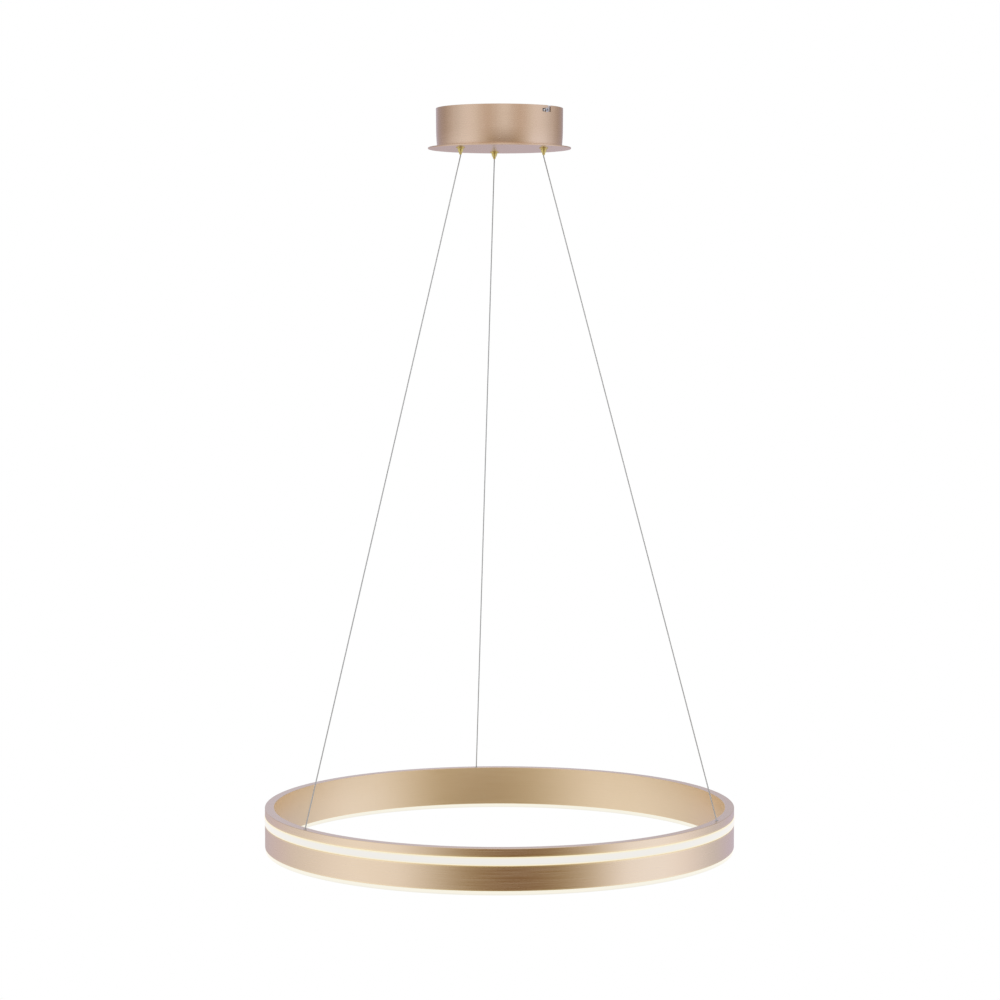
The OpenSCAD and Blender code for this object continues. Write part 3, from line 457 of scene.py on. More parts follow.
# %% [markdown]
# ## Opal plastic, lit
# The diffusers are opal acrylic with LEDs behind them. Lit, such a strip looks nearly flat: cool
# white in the middle, and warmer at its edges, where the light comes through more plastic.

# %% Lit opal acrylic
def opal(name, core, edge, middle, half, strength):
    """Lit plastic whose colour goes from core to edge, half a strip's height from its middle."""
    material, tree, where = new_material(name)
    height = add_node(tree, "ShaderNodeSeparateXYZ", [where]).outputs[2]
    above = add_node(tree, "ShaderNodeMath", [height, middle * MM],
                     operation="SUBTRACT").outputs[0]
    away = add_node(tree, "ShaderNodeMath", [above], operation="ABSOLUTE").outputs[0]
    rim = add_node(tree, "ShaderNodeMapRange",
                   {0: away, 1: half * 0.45 * MM, 2: half * MM},
                   interpolation_type="SMOOTHSTEP").outputs[0]
    clouds = add_node(tree, "ShaderNodeTexNoise",
                      {"Vector": where, "Scale": 60.0, "Detail": 1.0}).outputs[0]
    mixing = add_node(tree, "ShaderNodeMath", [clouds, 0.06, rim],
                      operation="MULTIPLY_ADD").outputs[0]
    tone = add_node(tree, "ShaderNodeMix", {0: mixing, 6: linear(core), 7: linear(edge)},
                    data_type="RGBA")
    shader = add_node(tree, "ShaderNodeBsdfPrincipled",
                      {"Base Color": (0.10, 0.10, 0.10, 1.0), "Roughness": 0.45,
                       "Specular IOR Level": 0.2,
                       "Emission Color": tone.outputs[2], "Emission Strength": strength})
    add_node(tree, "ShaderNodeOutputMaterial", [shader.outputs[0]])
    return material


BOTTOM_H = 5.3
# Opal acrylic with its light on: flat and cool, with warm margins
side_opal = opal("lit_opal_acrylic_side", "#EFECE6", "#FAEFCE",
                 -RING_TOP - (SLOT_TOP + SLOT_LOW) / 2, (SLOT_LOW - SLOT_TOP) / 2, 0.89)
# The same acrylic below, brightest where it meets the metal
bottom_opal = opal("lit_opal_acrylic_below", "#F8F3E2", "#EFEBDF",
                   -RING_TOP - RING_H, BOTTOM_H, 0.90)
print("opal materials:", side_opal.name, "and", bottom_opal.name)

# %% [markdown]
# ## Plastics and sheathed leads
# Moulded plastic has a faint orange peel and a slightly uneven tone. The wires have a clear
# jacket, so the twisted steel strands shine through as a fine slanting pattern.

# %% Plastics
def moulded(name, light, dark, roughness, grain_mm):
    """Plastic or lacquer with one size of grain, which also makes its faint bumps."""
    material, tree, where = new_material(name)
    peel = add_node(tree, "ShaderNodeTexNoise",
                    {"Vector": where, "Scale": 1000.0 / grain_mm, "Detail": 2.0}).outputs[0]
    tone = add_node(tree, "ShaderNodeMix", {0: peel, 6: linear(dark), 7: linear(light)},
                    data_type="RGBA")
    bump = add_node(tree, "ShaderNodeBump",
                    {"Strength": 0.2, "Distance": 0.00003, "Height": peel})
    shader = add_node(tree, "ShaderNodeBsdfPrincipled",
                      {"Base Color": tone.outputs[2], "Roughness": roughness,
                       "Normal": bump.outputs[0]})
    add_node(tree, "ShaderNodeOutputMaterial", [shader.outputs[0]])
    return material


# Polycarbonate from a matt mould: an even off-white without clear highlights
driver_case = moulded("moulded_polycarbonate", "#EDEBE6", "#E3E1DC", 0.5, 0.8)
# Polyamide: creamier, and slightly waxy
polyamide = moulded("moulded_polyamide", "#EFEDE2", "#E2DFD2", 0.4, 0.8)
# Solder mask on glass laminate: green lacquer with a soft gloss
board_green = moulded("solder_mask_on_laminate", "#2C6E3F", "#235A33", 0.35, 3)
# Flexible circuit under a white cover film
tape_white = moulded("white_flexible_circuit", "#F1EDE0", "#E6E1D2", 0.5, 3)
# Silicone filled with phosphor: dull yellow, since it isn't lit here
phosphor = moulded("phosphor_filled_silicone", "#F2D58A", "#E8C673", 0.5, 1)
# Silicone sheaths, one colour for each lead: rubbery, with a faint sheen
brown_sheath = moulded("brown_silicone_sheath", "#5A3A26", "#4B2F1E", 0.45, 1)
blue_sheath = moulded("blue_silicone_sheath", "#2A5CA8", "#234C8C", 0.45, 1)
green_sheath = moulded("green_yellow_sheath", "#B8C832", "#5E9A32", 0.45, 4)
red_sheath = moulded("red_silicone_sheath", "#A8261F", "#8C1F1A", 0.45, 1)

# Steel strands under a clear jacket: grey, in a slanting strand pattern whose paler streaks are
# painted highlights
jacket, tree, where = new_material("clear_jacketed_steel_strand")
strands_and_painted_sheen = add_node(tree, "ShaderNodeTexWave",
                   {"Vector": where, "Scale": 500.0, "Distortion": 0.5},
                   bands_direction="DIAGONAL").outputs["Fac"]
tone = add_node(tree, "ShaderNodeMix", {0: strands_and_painted_sheen, 6: linear("#8C8B88"), 7: linear("#BEBDBA")},
                data_type="RGBA")
shader = add_node(tree, "ShaderNodeBsdfPrincipled",
                  {"Base Color": tone.outputs[2], "Metallic": 0.35, "Roughness": 0.35,
                   "Coat Weight": 0.6, "Coat Roughness": 0.08})
add_node(tree, "ShaderNodeOutputMaterial", [shader.outputs[0]])
print("wire:", jacket.name)

# %% [markdown]
# ## Ring and diffusers
# The ring is one aluminium extrusion, rolled into a circle and closed with a butt joint. That is
# exactly what a sweep does: one flat section follows one arc. A node tree does it, with the
# radius, start and sweep angle as named inputs, so the three strips share one tree.

# %% Helpers for node trees
def new_tree(name, inputs):
    """A node tree with named inputs, and their sockets."""
    tree = bpy.data.node_groups.new(name, "GeometryNodeTree")
    tree.interface.new_socket("Geometry", in_out="INPUT", socket_type="NodeSocketGeometry")
    for label, kind in inputs:
        tree.interface.new_socket(label, in_out="INPUT", socket_type="NodeSocket" + kind)
    tree.interface.new_socket("Geometry", in_out="OUTPUT", socket_type="NodeSocketGeometry")
    return tree, add_node(tree, "NodeGroupInput").outputs


def close_tree(tree, geometry, material):
    """Ends a tree with real geometry in one material, because the export drops instances."""
    real = add_node(tree, "GeometryNodeRealizeInstances", {0: geometry})
    painted = add_node(tree, "GeometryNodeSetMaterial",
                       {"Geometry": real.outputs[0], "Material": material})
    add_node(tree, "NodeGroupOutput", {0: painted.outputs[0]})


def grown(name, tree, values, seed=None):
    """The mesh that a tree makes from its named values, and from a seed mesh if it needs one."""
    def setup(maker):
        modifier = maker.modifiers.new("tree", "NODES")
        modifier.node_group = tree
        for item in tree.interface.items_tree:
            if item.in_out == "INPUT" and item.name in values:
                modifier[item.identifier] = values[item.name]

    return evaluated(name, seed or bpy.data.meshes.new(name + "_seed"), setup)


# %% Tree that sweeps a section around the axis
sweep_tree, given = new_tree("swept_strip", [
    ("Section", "Object"), ("Radius", "Float"), ("Height", "Float"), ("Start", "Float"),
    ("Sweep", "Float"), ("Steps", "Int"), ("Material", "Material")])
section = add_node(sweep_tree, "GeometryNodeObjectInfo", {"Object": given["Section"]})
arc = add_node(sweep_tree, "GeometryNodeCurveArc",
               {"Resolution": given["Steps"], "Radius": given["Radius"],
                "Start Angle": given["Start"], "Sweep Angle": given["Sweep"]}, mode="RADIUS")
upright = add_node(sweep_tree, "GeometryNodeSetCurveNormal", {0: arc.outputs[0]}, mode="Z_UP")
strip = add_node(sweep_tree, "GeometryNodeCurveToMesh",
                 {"Curve": upright.outputs[0], "Profile Curve": section.outputs["Geometry"],
                  "Fill Caps": True})
lift = add_node(sweep_tree, "ShaderNodeCombineXYZ", {2: given["Height"]})
moved = add_node(sweep_tree, "GeometryNodeTransform",
                 {"Geometry": strip.outputs[0], "Translation": lift.outputs[0]})
close_tree(sweep_tree, moved.outputs[0], given["Material"])


# %% Sections with rounded corners
CORNER_R, SWEEP_STEPS = 0.25, 361


def rounded(points, radius, steps=3):
    """Turns each corner of a closed outline into a short curve."""
    result = []
    for i, corner in enumerate(points):
        corner, before, after = (Vector(points[(i + k) % len(points)][:2]) for k in (0, -1, 1))
        own = points[i][2] if len(points[i]) > 2 else radius
        back, ahead = before - corner, after - corner
        cut_back = min(own, 0.45 * back.length)
        cut_ahead = min(own, 0.45 * ahead.length)
        start, end = corner + back.normalized() * cut_back, corner + ahead.normalized() * cut_ahead
        for k in range(steps + 1):
            t = k / steps
            result.append((1 - t) ** 2 * start + 2 * t * (1 - t) * corner + t * t * end)
    return result


def swept(name, outline, material):
    """Sweeps an outline of radius and height, in millimetres, from seam to seam."""
    points = rounded(outline, CORNER_R)
    curve = bpy.data.curves.new(name + "_section", "CURVE")
    curve.dimensions = "3D"
    spline = curve.splines.new("POLY")
    spline.points.add(len(points) - 1)
    for knot, point in zip(spline.points, points):
        knot.co = ((point.x - R_MID) * MM, -point.y * MM, 0.0, 1.0)
    spline.use_cyclic_u = True
    holder = bpy.data.objects.new(name + "_section", curve)
    bpy.context.scene.collection.objects.link(holder)
    mesh = grown(name, sweep_tree, {
        "Section": holder, "Radius": R_MID * MM, "Height": -RING_TOP * MM,
        "Start": math.radians(SEAM_ANGLE) + SEAM_TURN / 2, "Sweep": 2 * math.pi - SEAM_TURN,
        "Steps": SWEEP_STEPS, "Material": material})
    bpy.data.objects.remove(holder)
    mesh = softened(name, mended(mesh, 1e-7), 0, 50.0)
    heights = [v.co.z / MM for v in mesh.vertices]
    print(name, "lies from", round(min(heights), 1), "to", round(max(heights), 1), "mm")
    return mesh


# %% Extrusion of the ring
wall_in, wall_out = R_IN + SKIN, R_OUT - SKIN
extrusion = [
    (R_IN, 0, 0.5), (R_OUT, 0, 0.5), (R_OUT, -SLOT_TOP, 0.35), (wall_in, -SLOT_TOP),
    (wall_in, -SLOT_LOW), (R_OUT, -SLOT_LOW, 0.35), (R_OUT, -RING_H, 0.4), (wall_out, -RING_H),
    (wall_out, -CHANNEL_TOP), (wall_in, -CHANNEL_TOP), (wall_in, -RING_H), (R_IN, -RING_H, 0.4)]
place("ring_extrusion", swept("ring_extrusion", extrusion, ring_metal), ring_metal, "ring",
      "satin_brass_ring", "ring_profile")

# %% Both diffusers
PLAY, STRIP_T = 0.15, 1.1
BULGE, LEG_LENGTH = 0.6, 4.7
face, leg = R_OUT + BULGE, R_OUT - LEG_LENGTH
high, low = -SLOT_TOP - PLAY, -SLOT_LOW + PLAY
side_strip = [
    (leg, high), (face - 0.35, high, 0.3), (face, (high + low) / 2, 2.5),
    (face - 0.35, low, 0.3), (leg, low), (leg, low + STRIP_T), (face - STRIP_T, low + STRIP_T),
    (face - STRIP_T, high - STRIP_T), (leg, high - STRIP_T)]
place("side_light", swept("side_light", side_strip, side_opal), side_opal, "ring",
      "opal_side", "side_diffuser")

SHOULDER, NECK_H, NECK_T, SOFT_R = 0.8, 6.3, 1.6, 1.3
inner, outer = R_IN + SHOULDER, R_OUT - SHOULDER
neck_in, neck_out = wall_in + PLAY, wall_out - PLAY
base, neck_top = -RING_H - BOTTOM_H, -RING_H + NECK_H
bottom_strip = [
    (inner, -RING_H), (inner, base, SOFT_R), (outer, base, SOFT_R), (outer, -RING_H),
    (neck_out, -RING_H), (neck_out, neck_top), (neck_out - NECK_T, neck_top),
    (neck_out - NECK_T, base + STRIP_T), (neck_in + NECK_T, base + STRIP_T),
    (neck_in + NECK_T, neck_top), (neck_in, neck_top), (neck_in, -RING_H)]
place("bottom_light", swept("bottom_light", bottom_strip, bottom_opal), bottom_opal, "ring",
      "opal_bottom", "bottom_diffuser")

# %% [markdown]
# ## Canopy
# The housing is spun from sheet, and two bayonet slots are cut into its rim. A plain round plate
# is screwed under it. Both CAD solids are right as they are, so they only get soft edges.

# %% Canopy housing and plate
dressed("canopy_housing", canopy_metal, "canopy", "satin_brass_canopy", width=0.25)
dressed("canopy_plate", canopy_metal, "canopy", "satin_brass_canopy", width=0.2)

# %% [markdown]
# ## Ceiling bracket and its screws
# The strap is punched and bent, and its edges are rolled slightly by the punch. Screws repeat,
# so one tree builds a pan head with a cross recess and sets it on every given point.

# %% Bracket
dressed("ceiling_bracket", galvanised, "bracket", "galvanised_steel", width=0.2)

# %% Tree that sets a screw on each point
screw_tree, given = new_tree("pan_screws", [
    ("Head Diameter", "Float"), ("Head Height", "Float"), ("Shank Diameter", "Float"),
    ("Shank Length", "Float"), ("Material", "Material")])
shares = {
    "head radius": ("Head Diameter", 0.5), "dome radius": ("Head Diameter", 0.31),
    "rim height": ("Head Height", 0.55), "dome height": ("Head Height", 0.45),
    "shank radius": ("Shank Diameter", 0.5), "tip radius": ("Shank Diameter", 0.42),
    "shank place": ("Shank Length", -1.0), "bar length": ("Head Diameter", 0.5),
    "bar width": ("Head Diameter", 0.12), "bar place": ("Head Height", 0.95)}
screw = {name: add_node(screw_tree, "ShaderNodeMath", [given[size], share],
                        operation="MULTIPLY").outputs[0]
         for name, (size, share) in shares.items()}


def raised(tree, geometry, height):
    """The same geometry, higher by height."""
    offset = add_node(tree, "ShaderNodeCombineXYZ", {2: height})
    return add_node(tree, "GeometryNodeTransform",
                    {"Geometry": geometry, "Translation": offset.outputs[0]}).outputs[0]


rim = add_node(screw_tree, "GeometryNodeMeshCone",
               {"Vertices": 28, "Radius Top": screw["head radius"],
                "Radius Bottom": screw["head radius"], "Depth": screw["rim height"]})
dome = add_node(screw_tree, "GeometryNodeMeshCone",
                {"Vertices": 28, "Radius Top": screw["dome radius"],
                 "Radius Bottom": screw["head radius"], "Depth": screw["dome height"]})
dome_up = raised(screw_tree, dome.outputs[0], screw["rim height"])
shank = add_node(screw_tree, "GeometryNodeMeshCone",
                 {"Vertices": 20, "Radius Top": screw["shank radius"],
                  "Radius Bottom": screw["tip radius"], "Depth": given["Shank Length"]})
shank_down = raised(screw_tree, shank.outputs[0], screw["shank place"])
solid = add_node(screw_tree, "GeometryNodeMeshBoolean", operation="UNION")
for part in (rim.outputs[0], dome_up, shank_down):
    screw_tree.links.new(part, solid.inputs[1])
bars = []
for long_axis in (0, 1):
    size = add_node(screw_tree, "ShaderNodeCombineXYZ",
                    {long_axis: screw["bar length"], 1 - long_axis: screw["bar width"],
                     2: given["Head Height"]})
    bar = add_node(screw_tree, "GeometryNodeMeshCube", {"Size": size.outputs[0]})
    bars.append(raised(screw_tree, bar.outputs[0], screw["bar place"]))
headed = add_node(screw_tree, "GeometryNodeMeshBoolean", {0: solid.outputs[0]},
                  operation="DIFFERENCE")
for bar in bars:
    screw_tree.links.new(bar, headed.inputs[1])
turned = add_node(screw_tree, "GeometryNodeInputNamedAttribute", {"Name": "turn"},
                  data_type="FLOAT_VECTOR")
to_turn = add_node(screw_tree, "FunctionNodeEulerToRotation", {0: turned.outputs[0]})
screws = add_node(screw_tree, "GeometryNodeInstanceOnPoints",
                  {"Points": given[0], "Instance": headed.outputs[0],
                   "Rotation": to_turn.outputs[0]})
close_tree(screw_tree, screws.outputs[0], given["Material"])


# %% Sets of screws
def points_with_turns(name, spots):
    """A mesh of loose points, in millimetres, that each carry a turn in radians."""
    mesh = bpy.data.meshes.new(name)
    mesh.from_pydata([tuple(c * MM for c in spot) for spot, turn in spots], [], [])
    turns = mesh.attributes.new("turn", "FLOAT_VECTOR", "POINT")
    for item, (spot, turn) in zip(turns.data, spots):
        item.vector = turn
    return mesh


def screw_set(name, spots, body, node, head_d, head_h, shank_d, shank_l):
    """One set of equal screws. A spot is a place and a turn, and an unturned head faces up."""
    mesh = grown(name, screw_tree, {
        "Head Diameter": head_d * MM, "Head Height": head_h * MM,
        "Shank Diameter": shank_d * MM, "Shank Length": shank_l * MM,
        "Material": zinc_plate}, points_with_turns(name + "_points", spots))
    return place(name, softened(name, mesh, 0.0, 30.0), zinc_plate, body, "zinc_steel", node)


# %% Screws of the canopy, the driver and the terminals
# The wall of the canopy draws in by WALL_DRAW over WALL_H, from WALL_TOP down
SCREW_DEPTH, HEAD_PLAY = 6.2, 0.2
WALL_R, WALL_DRAW, WALL_TOP, WALL_H = 80.3, 0.3, 0.3, 49
reach = WALL_R - WALL_DRAW * (SCREW_DEPTH - WALL_TOP) / WALL_H + HEAD_PLAY
canopy_spots = []
for extra in (0.0, 180.0):
    angle = math.radians(SCREW_ANGLE + extra)
    canopy_spots.append(((reach * math.cos(angle), reach * math.sin(angle), -SCREW_DEPTH),
                         (0.0, math.pi / 2, angle)))
screw_set("canopy_screw_set", canopy_spots, "bracket", "canopy_screws",
          head_d=5.5, head_h=1.76, shank_d=2.96, shank_l=9.0)

# Two screws hold the driver by its ears, and two hold the terminal block by its flanges
EAR_X, EAR_Y, EAR_T = 52, 4.0, 2.0
BLOCK_X, BLOCK_Y, BLOCK_HALF, FLANGE_T = 27, 45.0, 17.0, 3.0
driver_spots = [((s * EAR_X, EAR_Y, FLOOR_TOP + EAR_T), (0, 0, turn))
                for s, turn in ((-1, 0.4), (1, 1.1))]
driver_spots += [((BLOCK_X + s * BLOCK_HALF, BLOCK_Y, FLOOR_TOP + FLANGE_T), (0, 0, 0.7 * s))
                 for s in (-1, 1)]
screw_set("fixing_screw_set", driver_spots, "canopy", "driver_screws",
          head_d=5.6, head_h=1.79, shank_d=3.0, shank_l=4.4)

# %% [markdown]
# ## Wire grippers
# Each gripper is turned from brass bar. Its nose shows below the plate; a sprung plunger sticks
# out of it and is pushed up to free the wire. Turned parts are made by spinning their outline.

# %% Turned brass parts
def turned_mesh(name, outline, spots, steps=48, corner=0.12):
    """Spins one outline of radius and height, in millimetres, at each given place."""
    points = rounded(outline, corner, 2)
    vertices, faces = [], []
    for x, y, z in spots:
        first = len(vertices)
        for k in range(steps):
            c, s = math.cos(2 * math.pi * k / steps), math.sin(2 * math.pi * k / steps)
            vertices += [((x + p.x * c) * MM, (y + p.x * s) * MM, (z + p.y) * MM) for p in points]
        for k in range(steps):
            for i in range(len(points)):
                a, b = first + k * len(points), first + (k + 1) % steps * len(points)
                j = (i + 1) % len(points)
                faces.append((a + i, b + i, b + j, a + j))
    mesh = bpy.data.meshes.new(name)
    mesh.from_pydata(vertices, [], faces)
    return softened(name, mended(mesh, 1e-8), 0.0, 40.0)


def at_wire(side, radius, z):
    """A point at one wire's angle, in millimetres."""
    angle = math.radians(WIRES[side])
    return (radius * math.cos(angle), radius * math.sin(angle), z)


# %% Outlines of a gripper, and the three grippers
gripper_outline = [
    (1.85, -6.0), (2.66, -6.0, 0.1), (2.86, -5.6), (3.7, -2.6, 0.3), (3.7, -1.2, 0.05),
    (5.35, -1.2), (5.5, -0.9), (5.5, 0.0, 0.05), (4.0, 0.0, 0.02), (4.0, 17.0), (3.5, 17.5),
    (3.0, 17.5), (3.0, 9.0, 0.3), (1.85, 1.0, 0.3)]
cap_outline = [
    (0.9, 14.0), (2.98, 14.0), (2.98, 17.5, 0.02), (3.7, 17.5, 0.02), (3.7, 19.0, 0.35),
    (0.9, 19.0)]
plunger_outline = [
    (0.9, -PLUNGER_TIP), (1.3, -PLUNGER_TIP), (1.8, -8.1, 0.3), (1.8, 4.4, 0.02),
    (2.2, 4.5, 0.05), (2.2, 9.5), (0.9, 9.5)]
for side in WIRES:
    spot = at_wire(side, GRIPPER_R, PLATE_LOW)
    place("gripper_" + side, turned_mesh("gripper_" + side, gripper_outline, [spot]),
          brass, "canopy", "brass", "gripper_body_" + side)
    place("gripper_top_" + side, turned_mesh("gripper_top_" + side, cap_outline, [spot]),
          brass, "canopy", "brass", "gripper_cap_" + side)
    place("release_tip_" + side, turned_mesh("release_tip_" + side, plunger_outline, [spot]),
          brass, "release_" + side, "brass", "plunger_" + side)
dressed("gripper_nuts", brass, "canopy", "brass", width=0.25)

# %% [markdown]
# ## Springs and balls
# A coil spring pushes each plunger down and three steel balls wedge against the wire. Both repeat
# and follow a rule, so two small trees make them.

# %% Spring tree
spring_tree, given = new_tree("coil_spring", [
    ("Turns", "Float"), ("Coil Radius", "Float"), ("Wire Radius", "Float"), ("Height", "Float"),
    ("Place", "Vector"), ("Material", "Material")])
coil = add_node(spring_tree, "GeometryNodeCurveSpiral",
                {"Resolution": 28, "Rotations": given["Turns"],
                 "Start Radius": given["Coil Radius"], "End Radius": given["Coil Radius"],
                 "Height": given["Height"]})
round_wire = add_node(spring_tree, "GeometryNodeCurvePrimitiveCircle",
                      {"Resolution": 10, "Radius": given["Wire Radius"]}, mode="RADIUS")
tube = add_node(spring_tree, "GeometryNodeCurveToMesh",
                {"Curve": coil.outputs[0], "Profile Curve": round_wire.outputs[0],
                 "Fill Caps": True})
seated = add_node(spring_tree, "GeometryNodeTransform",
                  {"Geometry": tube.outputs[0], "Translation": given["Place"]})
close_tree(spring_tree, seated.outputs[0], given["Material"])

# %% Ball tree
ball_tree, given = new_tree("clamping_balls", [
    ("Ball Radius", "Float"), ("Circle Radius", "Float"), ("Turn", "Vector"),
    ("Place", "Vector"), ("Material", "Material")])
three = add_node(ball_tree, "GeometryNodeMeshCircle",
                 {"Vertices": 3, "Radius": given["Circle Radius"]})
ball = add_node(ball_tree, "GeometryNodeMeshUVSphere",
                {"Segments": 20, "Rings": 12, "Radius": given["Ball Radius"]})
ring_of_balls = add_node(ball_tree, "GeometryNodeInstanceOnPoints",
                         {"Points": three.outputs[0], "Instance": ball.outputs[0]})
set_down = add_node(ball_tree, "GeometryNodeTransform",
                    {"Geometry": ring_of_balls.outputs[0], "Translation": given["Place"],
                     "Rotation": given["Turn"]})
close_tree(ball_tree, set_down.outputs[0], given["Material"])

# %% Springs and balls in their grippers
# Heights are above the plate's lower face; SPRING_END is the spring's lowest point
SPRING_FOOT, SPRING_H, SPRING_END, CAP_SEAT = 9.8, 3.9, 9.55, 14.0
COIL_R, COIL_WIRE_R, COIL_TURNS = 2.5, 0.25, 4.0
BALL_R, BALL_CIRCLE_R, BALL_HEIGHT = 1.0, 1.77, 7.46
for side, angle in WIRES.items():
    coil_mesh = grown("spring_" + side, spring_tree, {
        "Turns": COIL_TURNS, "Coil Radius": COIL_R * MM, "Wire Radius": COIL_WIRE_R * MM,
        "Height": SPRING_H * MM,
        "Place": [c * MM for c in at_wire(side, GRIPPER_R, PLATE_LOW + SPRING_FOOT)],
        "Material": zinc_plate})
    spring = place("spring_" + side, softened("spring_" + side, coil_mesh, 0.0, 60.0), zinc_plate,
                   "canopy", "zinc_steel", "gripper_spring_" + side)
    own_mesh(spring)
    balls = grown("balls_" + side, ball_tree, {
        "Ball Radius": BALL_R * MM, "Circle Radius": BALL_CIRCLE_R * MM,
        "Turn": [0.0, 0.0, math.radians(angle)],
        "Place": [c * MM for c in at_wire(side, GRIPPER_R, PLATE_LOW + BALL_HEIGHT)],
        "Material": ball_steel})
    place("balls_" + side, softened("balls_" + side, balls, 0.0, 60.0), ball_steel,
          "release_" + side, "steel_ball", "clamp_balls_" + side)

# %% [markdown]
# ## Suspension wires
# Each wire is a thin steel strand in a clear jacket, and two of them carry the current. A wire
# hangs straight down out of its gripper, bends outwards and then runs dead straight to the ring.
# When the ring goes up, the wire really slides up through its gripper.

# %% Tube along a path
def tube_mesh(name, path, diameter, sides=12):
    """A closed tube around a path, in millimetres, without a twist."""
    vertices, faces = [], []
    count = len(path)
    heading = None
    for i, point in enumerate(path):
        way = (path[min(i + 1, count - 1)] - path[max(i - 1, 0)]).normalized()
        if heading is None:
            heading = way.orthogonal().normalized()
        heading = (heading - way * heading.dot(way)).normalized()
        across = way.cross(heading)
        for k in range(sides):
            angle = 2 * math.pi * k / sides
            spot = point + diameter / 2 * (math.cos(angle) * heading + math.sin(angle) * across)
            vertices.append(tuple(spot * MM))
    for i in range(count - 1):
        for k in range(sides):
            a, b = i * sides + k, i * sides + (k + 1) % sides
            faces.append((a, b, b + sides, a + sides))
    faces.append(tuple(reversed(range(sides))))
    faces.append(tuple(range((count - 1) * sides, count * sides)))
    mesh = bpy.data.meshes.new(name)
    mesh.from_pydata(vertices, [], faces)
    mended(mesh)
    for polygon in mesh.polygons:
        polygon.use_smooth = True
    mesh.set_sharp_from_angle(angle=math.radians(50))
    return mesh


def path_length(path):
    return sum((b - a).length for a, b in zip(path, path[1:]))


# %% Wires from the grippers to the ring
RING_RISE, BEND_STEPS, RUN_STEPS = 500.0, 10, 24
run_x = R_MID - GRIPPER_R - WIRE_BEND
run_z = RING_TOP + TIP_Z - WIRE_LEAD
slant = math.atan2(run_x, run_z) + math.asin(WIRE_BEND / math.hypot(run_x, run_z))
straight = math.sqrt(run_x ** 2 + run_z ** 2 - WIRE_BEND ** 2)
full = straight + WIRE_IN / math.cos(slant)
for side, angle in WIRES.items():
    flat_path = [(-WIRE_BEND, WIRE_LEAD)]
    flat_path += [(-WIRE_BEND * math.cos(turn), -WIRE_BEND * math.sin(turn))
                  for turn in (slant * k / BEND_STEPS for k in range(BEND_STEPS + 1))]
    flat_path += [(-WIRE_BEND * math.cos(slant) + d * math.sin(slant),
                   -WIRE_BEND * math.sin(slant) - d * math.cos(slant))
                  for d in (full * k / RUN_STEPS for k in range(1, RUN_STEPS + 1))]
    turn_to = Matrix.Rotation(math.radians(angle), 3, "Z")
    path = [turn_to @ Vector((GRIPPER_R + WIRE_BEND + u, 0.0, TIP_Z - WIRE_LEAD + v))
            for u, v in flat_path]
    wire = place("suspension_wire_" + side, tube_mesh("wire_" + side, path, WIRE_D), jacket,
                 "canopy", "wire_jacket", "wire_" + side)
    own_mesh(wire)
    print("wire", side, "is", round(path_length(path)), "mm long")

# %% [markdown]
# ## Anchor points on the ring
# A small flanged bush is spread in each hole of the ring's top face, so that the sharp sheet
# never touches the wire.

# %% Anchor bushes
bush_outline = [
    (1.65, 0.4, 0.15), (2.0, 0.4), (2.3, 0.2), (2.3, 0.0, 0.02), (1.68, 0.0, 0.02),
    (1.68, -1.4, 0.02), (2.2, -1.42), (2.0, -2.0), (1.68, -3.0), (1.2, -3.0), (1.2, -1.0)]
bush_spots = [at_wire(side, R_MID, -RING_TOP) for side in WIRES]
bushes = turned_mesh("anchor_bush_set", bush_outline, bush_spots, steps=32, corner=0.08)
place("anchor_bush_set", bushes, zinc_plate, "ring", "zinc_steel", "anchor_bushes")

# %% [markdown]
# ## Inside the canopy
# The open top of the canopy shows the driver, the terminal block and their leads. The cases keep
# their CAD form with soft edges, and the leads become smooth tubes along the same routes.

# %% Driver, terminal block and connectors
dressed("driver_base", driver_case, "canopy", "driver_plastic", width=0.4)
dressed("driver_cover", driver_case, "canopy", "driver_plastic", width=0.4)
dressed("driver_board", board_green, "canopy", "circuit_board", width=0.1)
dressed("terminal_block", polyamide, "canopy", "terminal_plastic", width=0.25)
dressed("terminal_screws", zinc_plate, "canopy", "zinc_steel", width=0.1)
dressed("tail_connectors", polyamide, "canopy", "terminal_plastic", width=0.2)
dressed("earth_stud", brass, "canopy", "brass", width=0.3)
dressed("earth_nut", brass, "canopy", "brass", width=0.25)


# %% Helpers for the leads
def smooth_path(points, steps=8):
    """A smooth path through all the points, which run from end to end."""
    points = [Vector(p) for p in points]
    last = len(points) - 1
    path = []
    for i in range(last):
        a, b = points[max(i - 1, 0)], points[i]
        c, d = points[i + 1], points[min(i + 2, last)]
        for k in range(steps):
            t = k / steps
            path.append(0.5 * (2 * b + (c - a) * t + (2 * a - 5 * b + 4 * c - d) * t ** 2
                               + (3 * b - a - 3 * c + d) * t ** 3))
    return path + [points[-1]]


def joined(name, meshes):
    """Several meshes as one."""
    whole = bmesh.new()
    for mesh in meshes:
        whole.from_mesh(mesh)
    result = bpy.data.meshes.new(name)
    whole.to_mesh(result)
    whole.free()
    return result


# %% Leads between the terminal block, the driver and the earth stud
LEAD_D, LEAD_Z = 2.0, FLOOR_TOP + 5.0
mains = {"live": (36.0, 23.0), "neutral": (18.0, 18.0)}
for name, (x0, x1) in mains.items():
    path = smooth_path([(x0, 44, LEAD_Z), (x0, 36, LEAD_Z), (x0, 34.5, LEAD_Z),
                        ((x0 + x1) / 2, 29.75, LEAD_Z + 1), (x1, 25, LEAD_Z + 1),
                        (x1, 23.5, LEAD_Z + 1), (x1, 20.4, LEAD_Z + 1)])
    sheath = brown_sheath if name == "live" else blue_sheath
    place(name + "_tube", tube_mesh(name + "_tube", path, LEAD_D), sheath, "canopy",
          "brown_lead" if name == "live" else "blue_lead", name + "_lead")

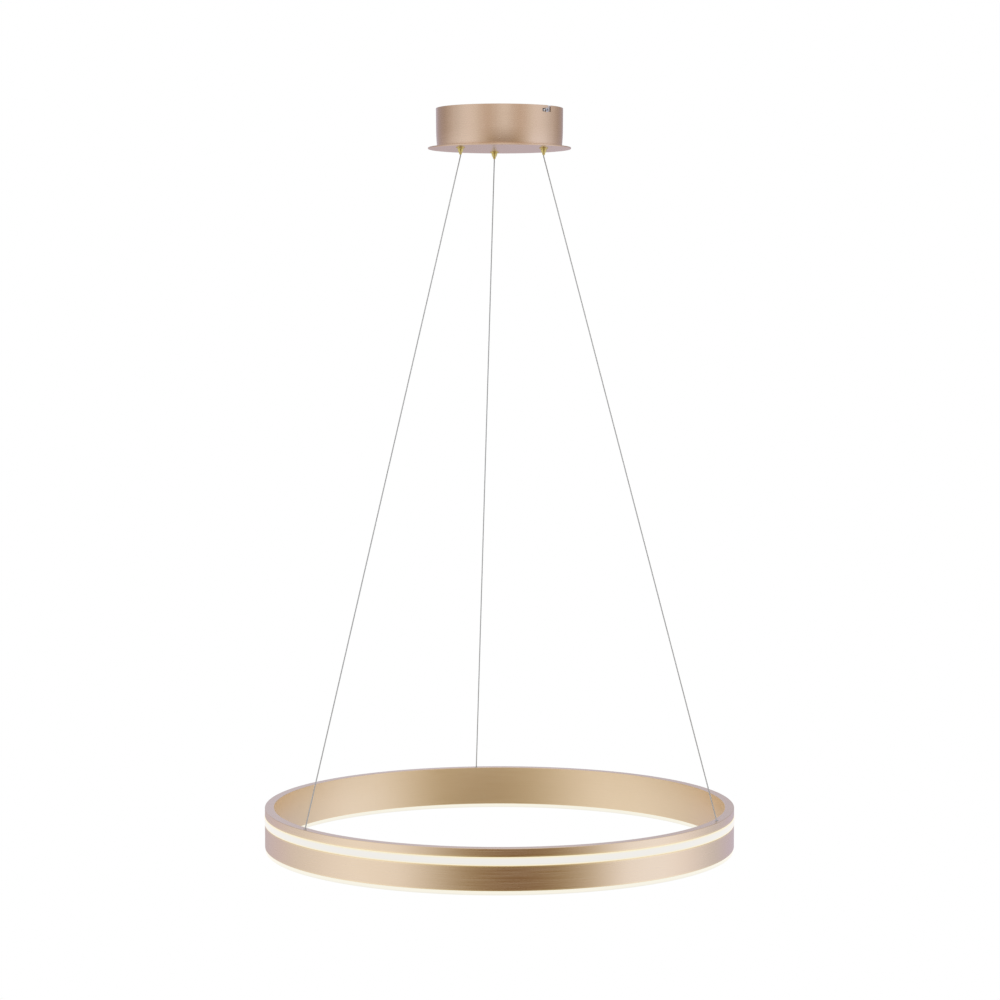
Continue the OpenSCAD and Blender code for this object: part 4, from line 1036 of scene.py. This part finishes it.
earth_path = smooth_path([
    (27, 44, LEAD_Z), (27, 36, LEAD_Z), (27, 34.5, LEAD_Z), (24, 32, LEAD_Z + 4),
    (18, 31.5, LEAD_Z + 6), (9, 31.5, LEAD_Z + 5), (-8, 33.5, LEAD_Z + 4), (-20, 41, LEAD_Z),
    (-26.5, 43, FLOOR_TOP + 1.7)])
place("earth_tube", tube_mesh("earth", earth_path, LEAD_D), green_sheath, "canopy",
      "earth_lead", "earth_lead")
lug_outline = [(2.1, 0.1), (4.0, 0.1), (4.0, 0.9), (2.1, 0.9)]
lug = turned_mesh("earth_lug", lug_outline, [(-33, 43, FLOOR_TOP)], steps=40, corner=0.1)
place("earth_lug", lug, zinc_plate, "canopy", "zinc_steel")

outputs = []
for s in (-1, 1):
    outputs.append(tube_mesh("output", smooth_path([
        (s * 3, -12.4, LEAD_Z), (s * 3, -17, LEAD_Z), (s * 5, -21, LEAD_Z),
        (s * 11, -23, LEAD_Z), (s * 14, -23, LEAD_Z)]), WIRE_D))
place("output_tubes", joined("output_tubes", outputs), red_sheath, "canopy", "red_lead",
      "output_leads")

# %% Wire tails
top = PLATE_LOW + 20.0
for side, s in (("left", -1), ("right", 1)):
    x, y, z = at_wire(side, GRIPPER_R, top)
    goal = (s * 20.0, -23.0, LEAD_Z)
    path = [Vector(at_wire(side, GRIPPER_R, TIP_Z))]
    path += smooth_path([(x, y, z), (x, y, z + 3), (x * 0.97, y * 0.98, z + 6),
                         ((x + goal[0]) / 2, (y + goal[1]) / 2, z + 5),
                         (goal[0] + s * 6, goal[1], goal[2]),
                         (goal[0] + s * 2, goal[1], goal[2]), goal])
    place("tail_" + side, tube_mesh("tail_" + side, path, WIRE_D), jacket, "canopy",
          "wire_jacket", "wire_tail_" + side)
back_top = PLATE_LOW + 26
back_tail = [Vector(at_wire("back", GRIPPER_R, TIP_Z + (back_top - TIP_Z) * k / 8))
             for k in range(9)]
place("tail_back", tube_mesh("tail_back", back_tail, WIRE_D), jacket, "canopy", "wire_jacket",
      "wire_tail_back")

# %% [markdown]
# ## Pieces that stay hidden in the ring
# The splice, the LED tapes and their leads are never seen, so their CAD solids stay as they are
# and only get the right material.

# %% Hidden CAD nodes
hidden = {"ring_splice": zinc_plate, "splice_screws": zinc_plate, "wire_stops": zinc_plate,
          "side_led_tape": tape_white, "bottom_led_tape": tape_white,
          "side_led_bead": phosphor, "bottom_led_bead": phosphor, "ring_leads": red_sheath}
for node, material in hidden.items():
    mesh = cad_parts[node].data
    if mesh.materials:
        mesh.materials[0] = material
    else:
        mesh.materials.append(material)
print("hidden solids given their material:", len(hidden))
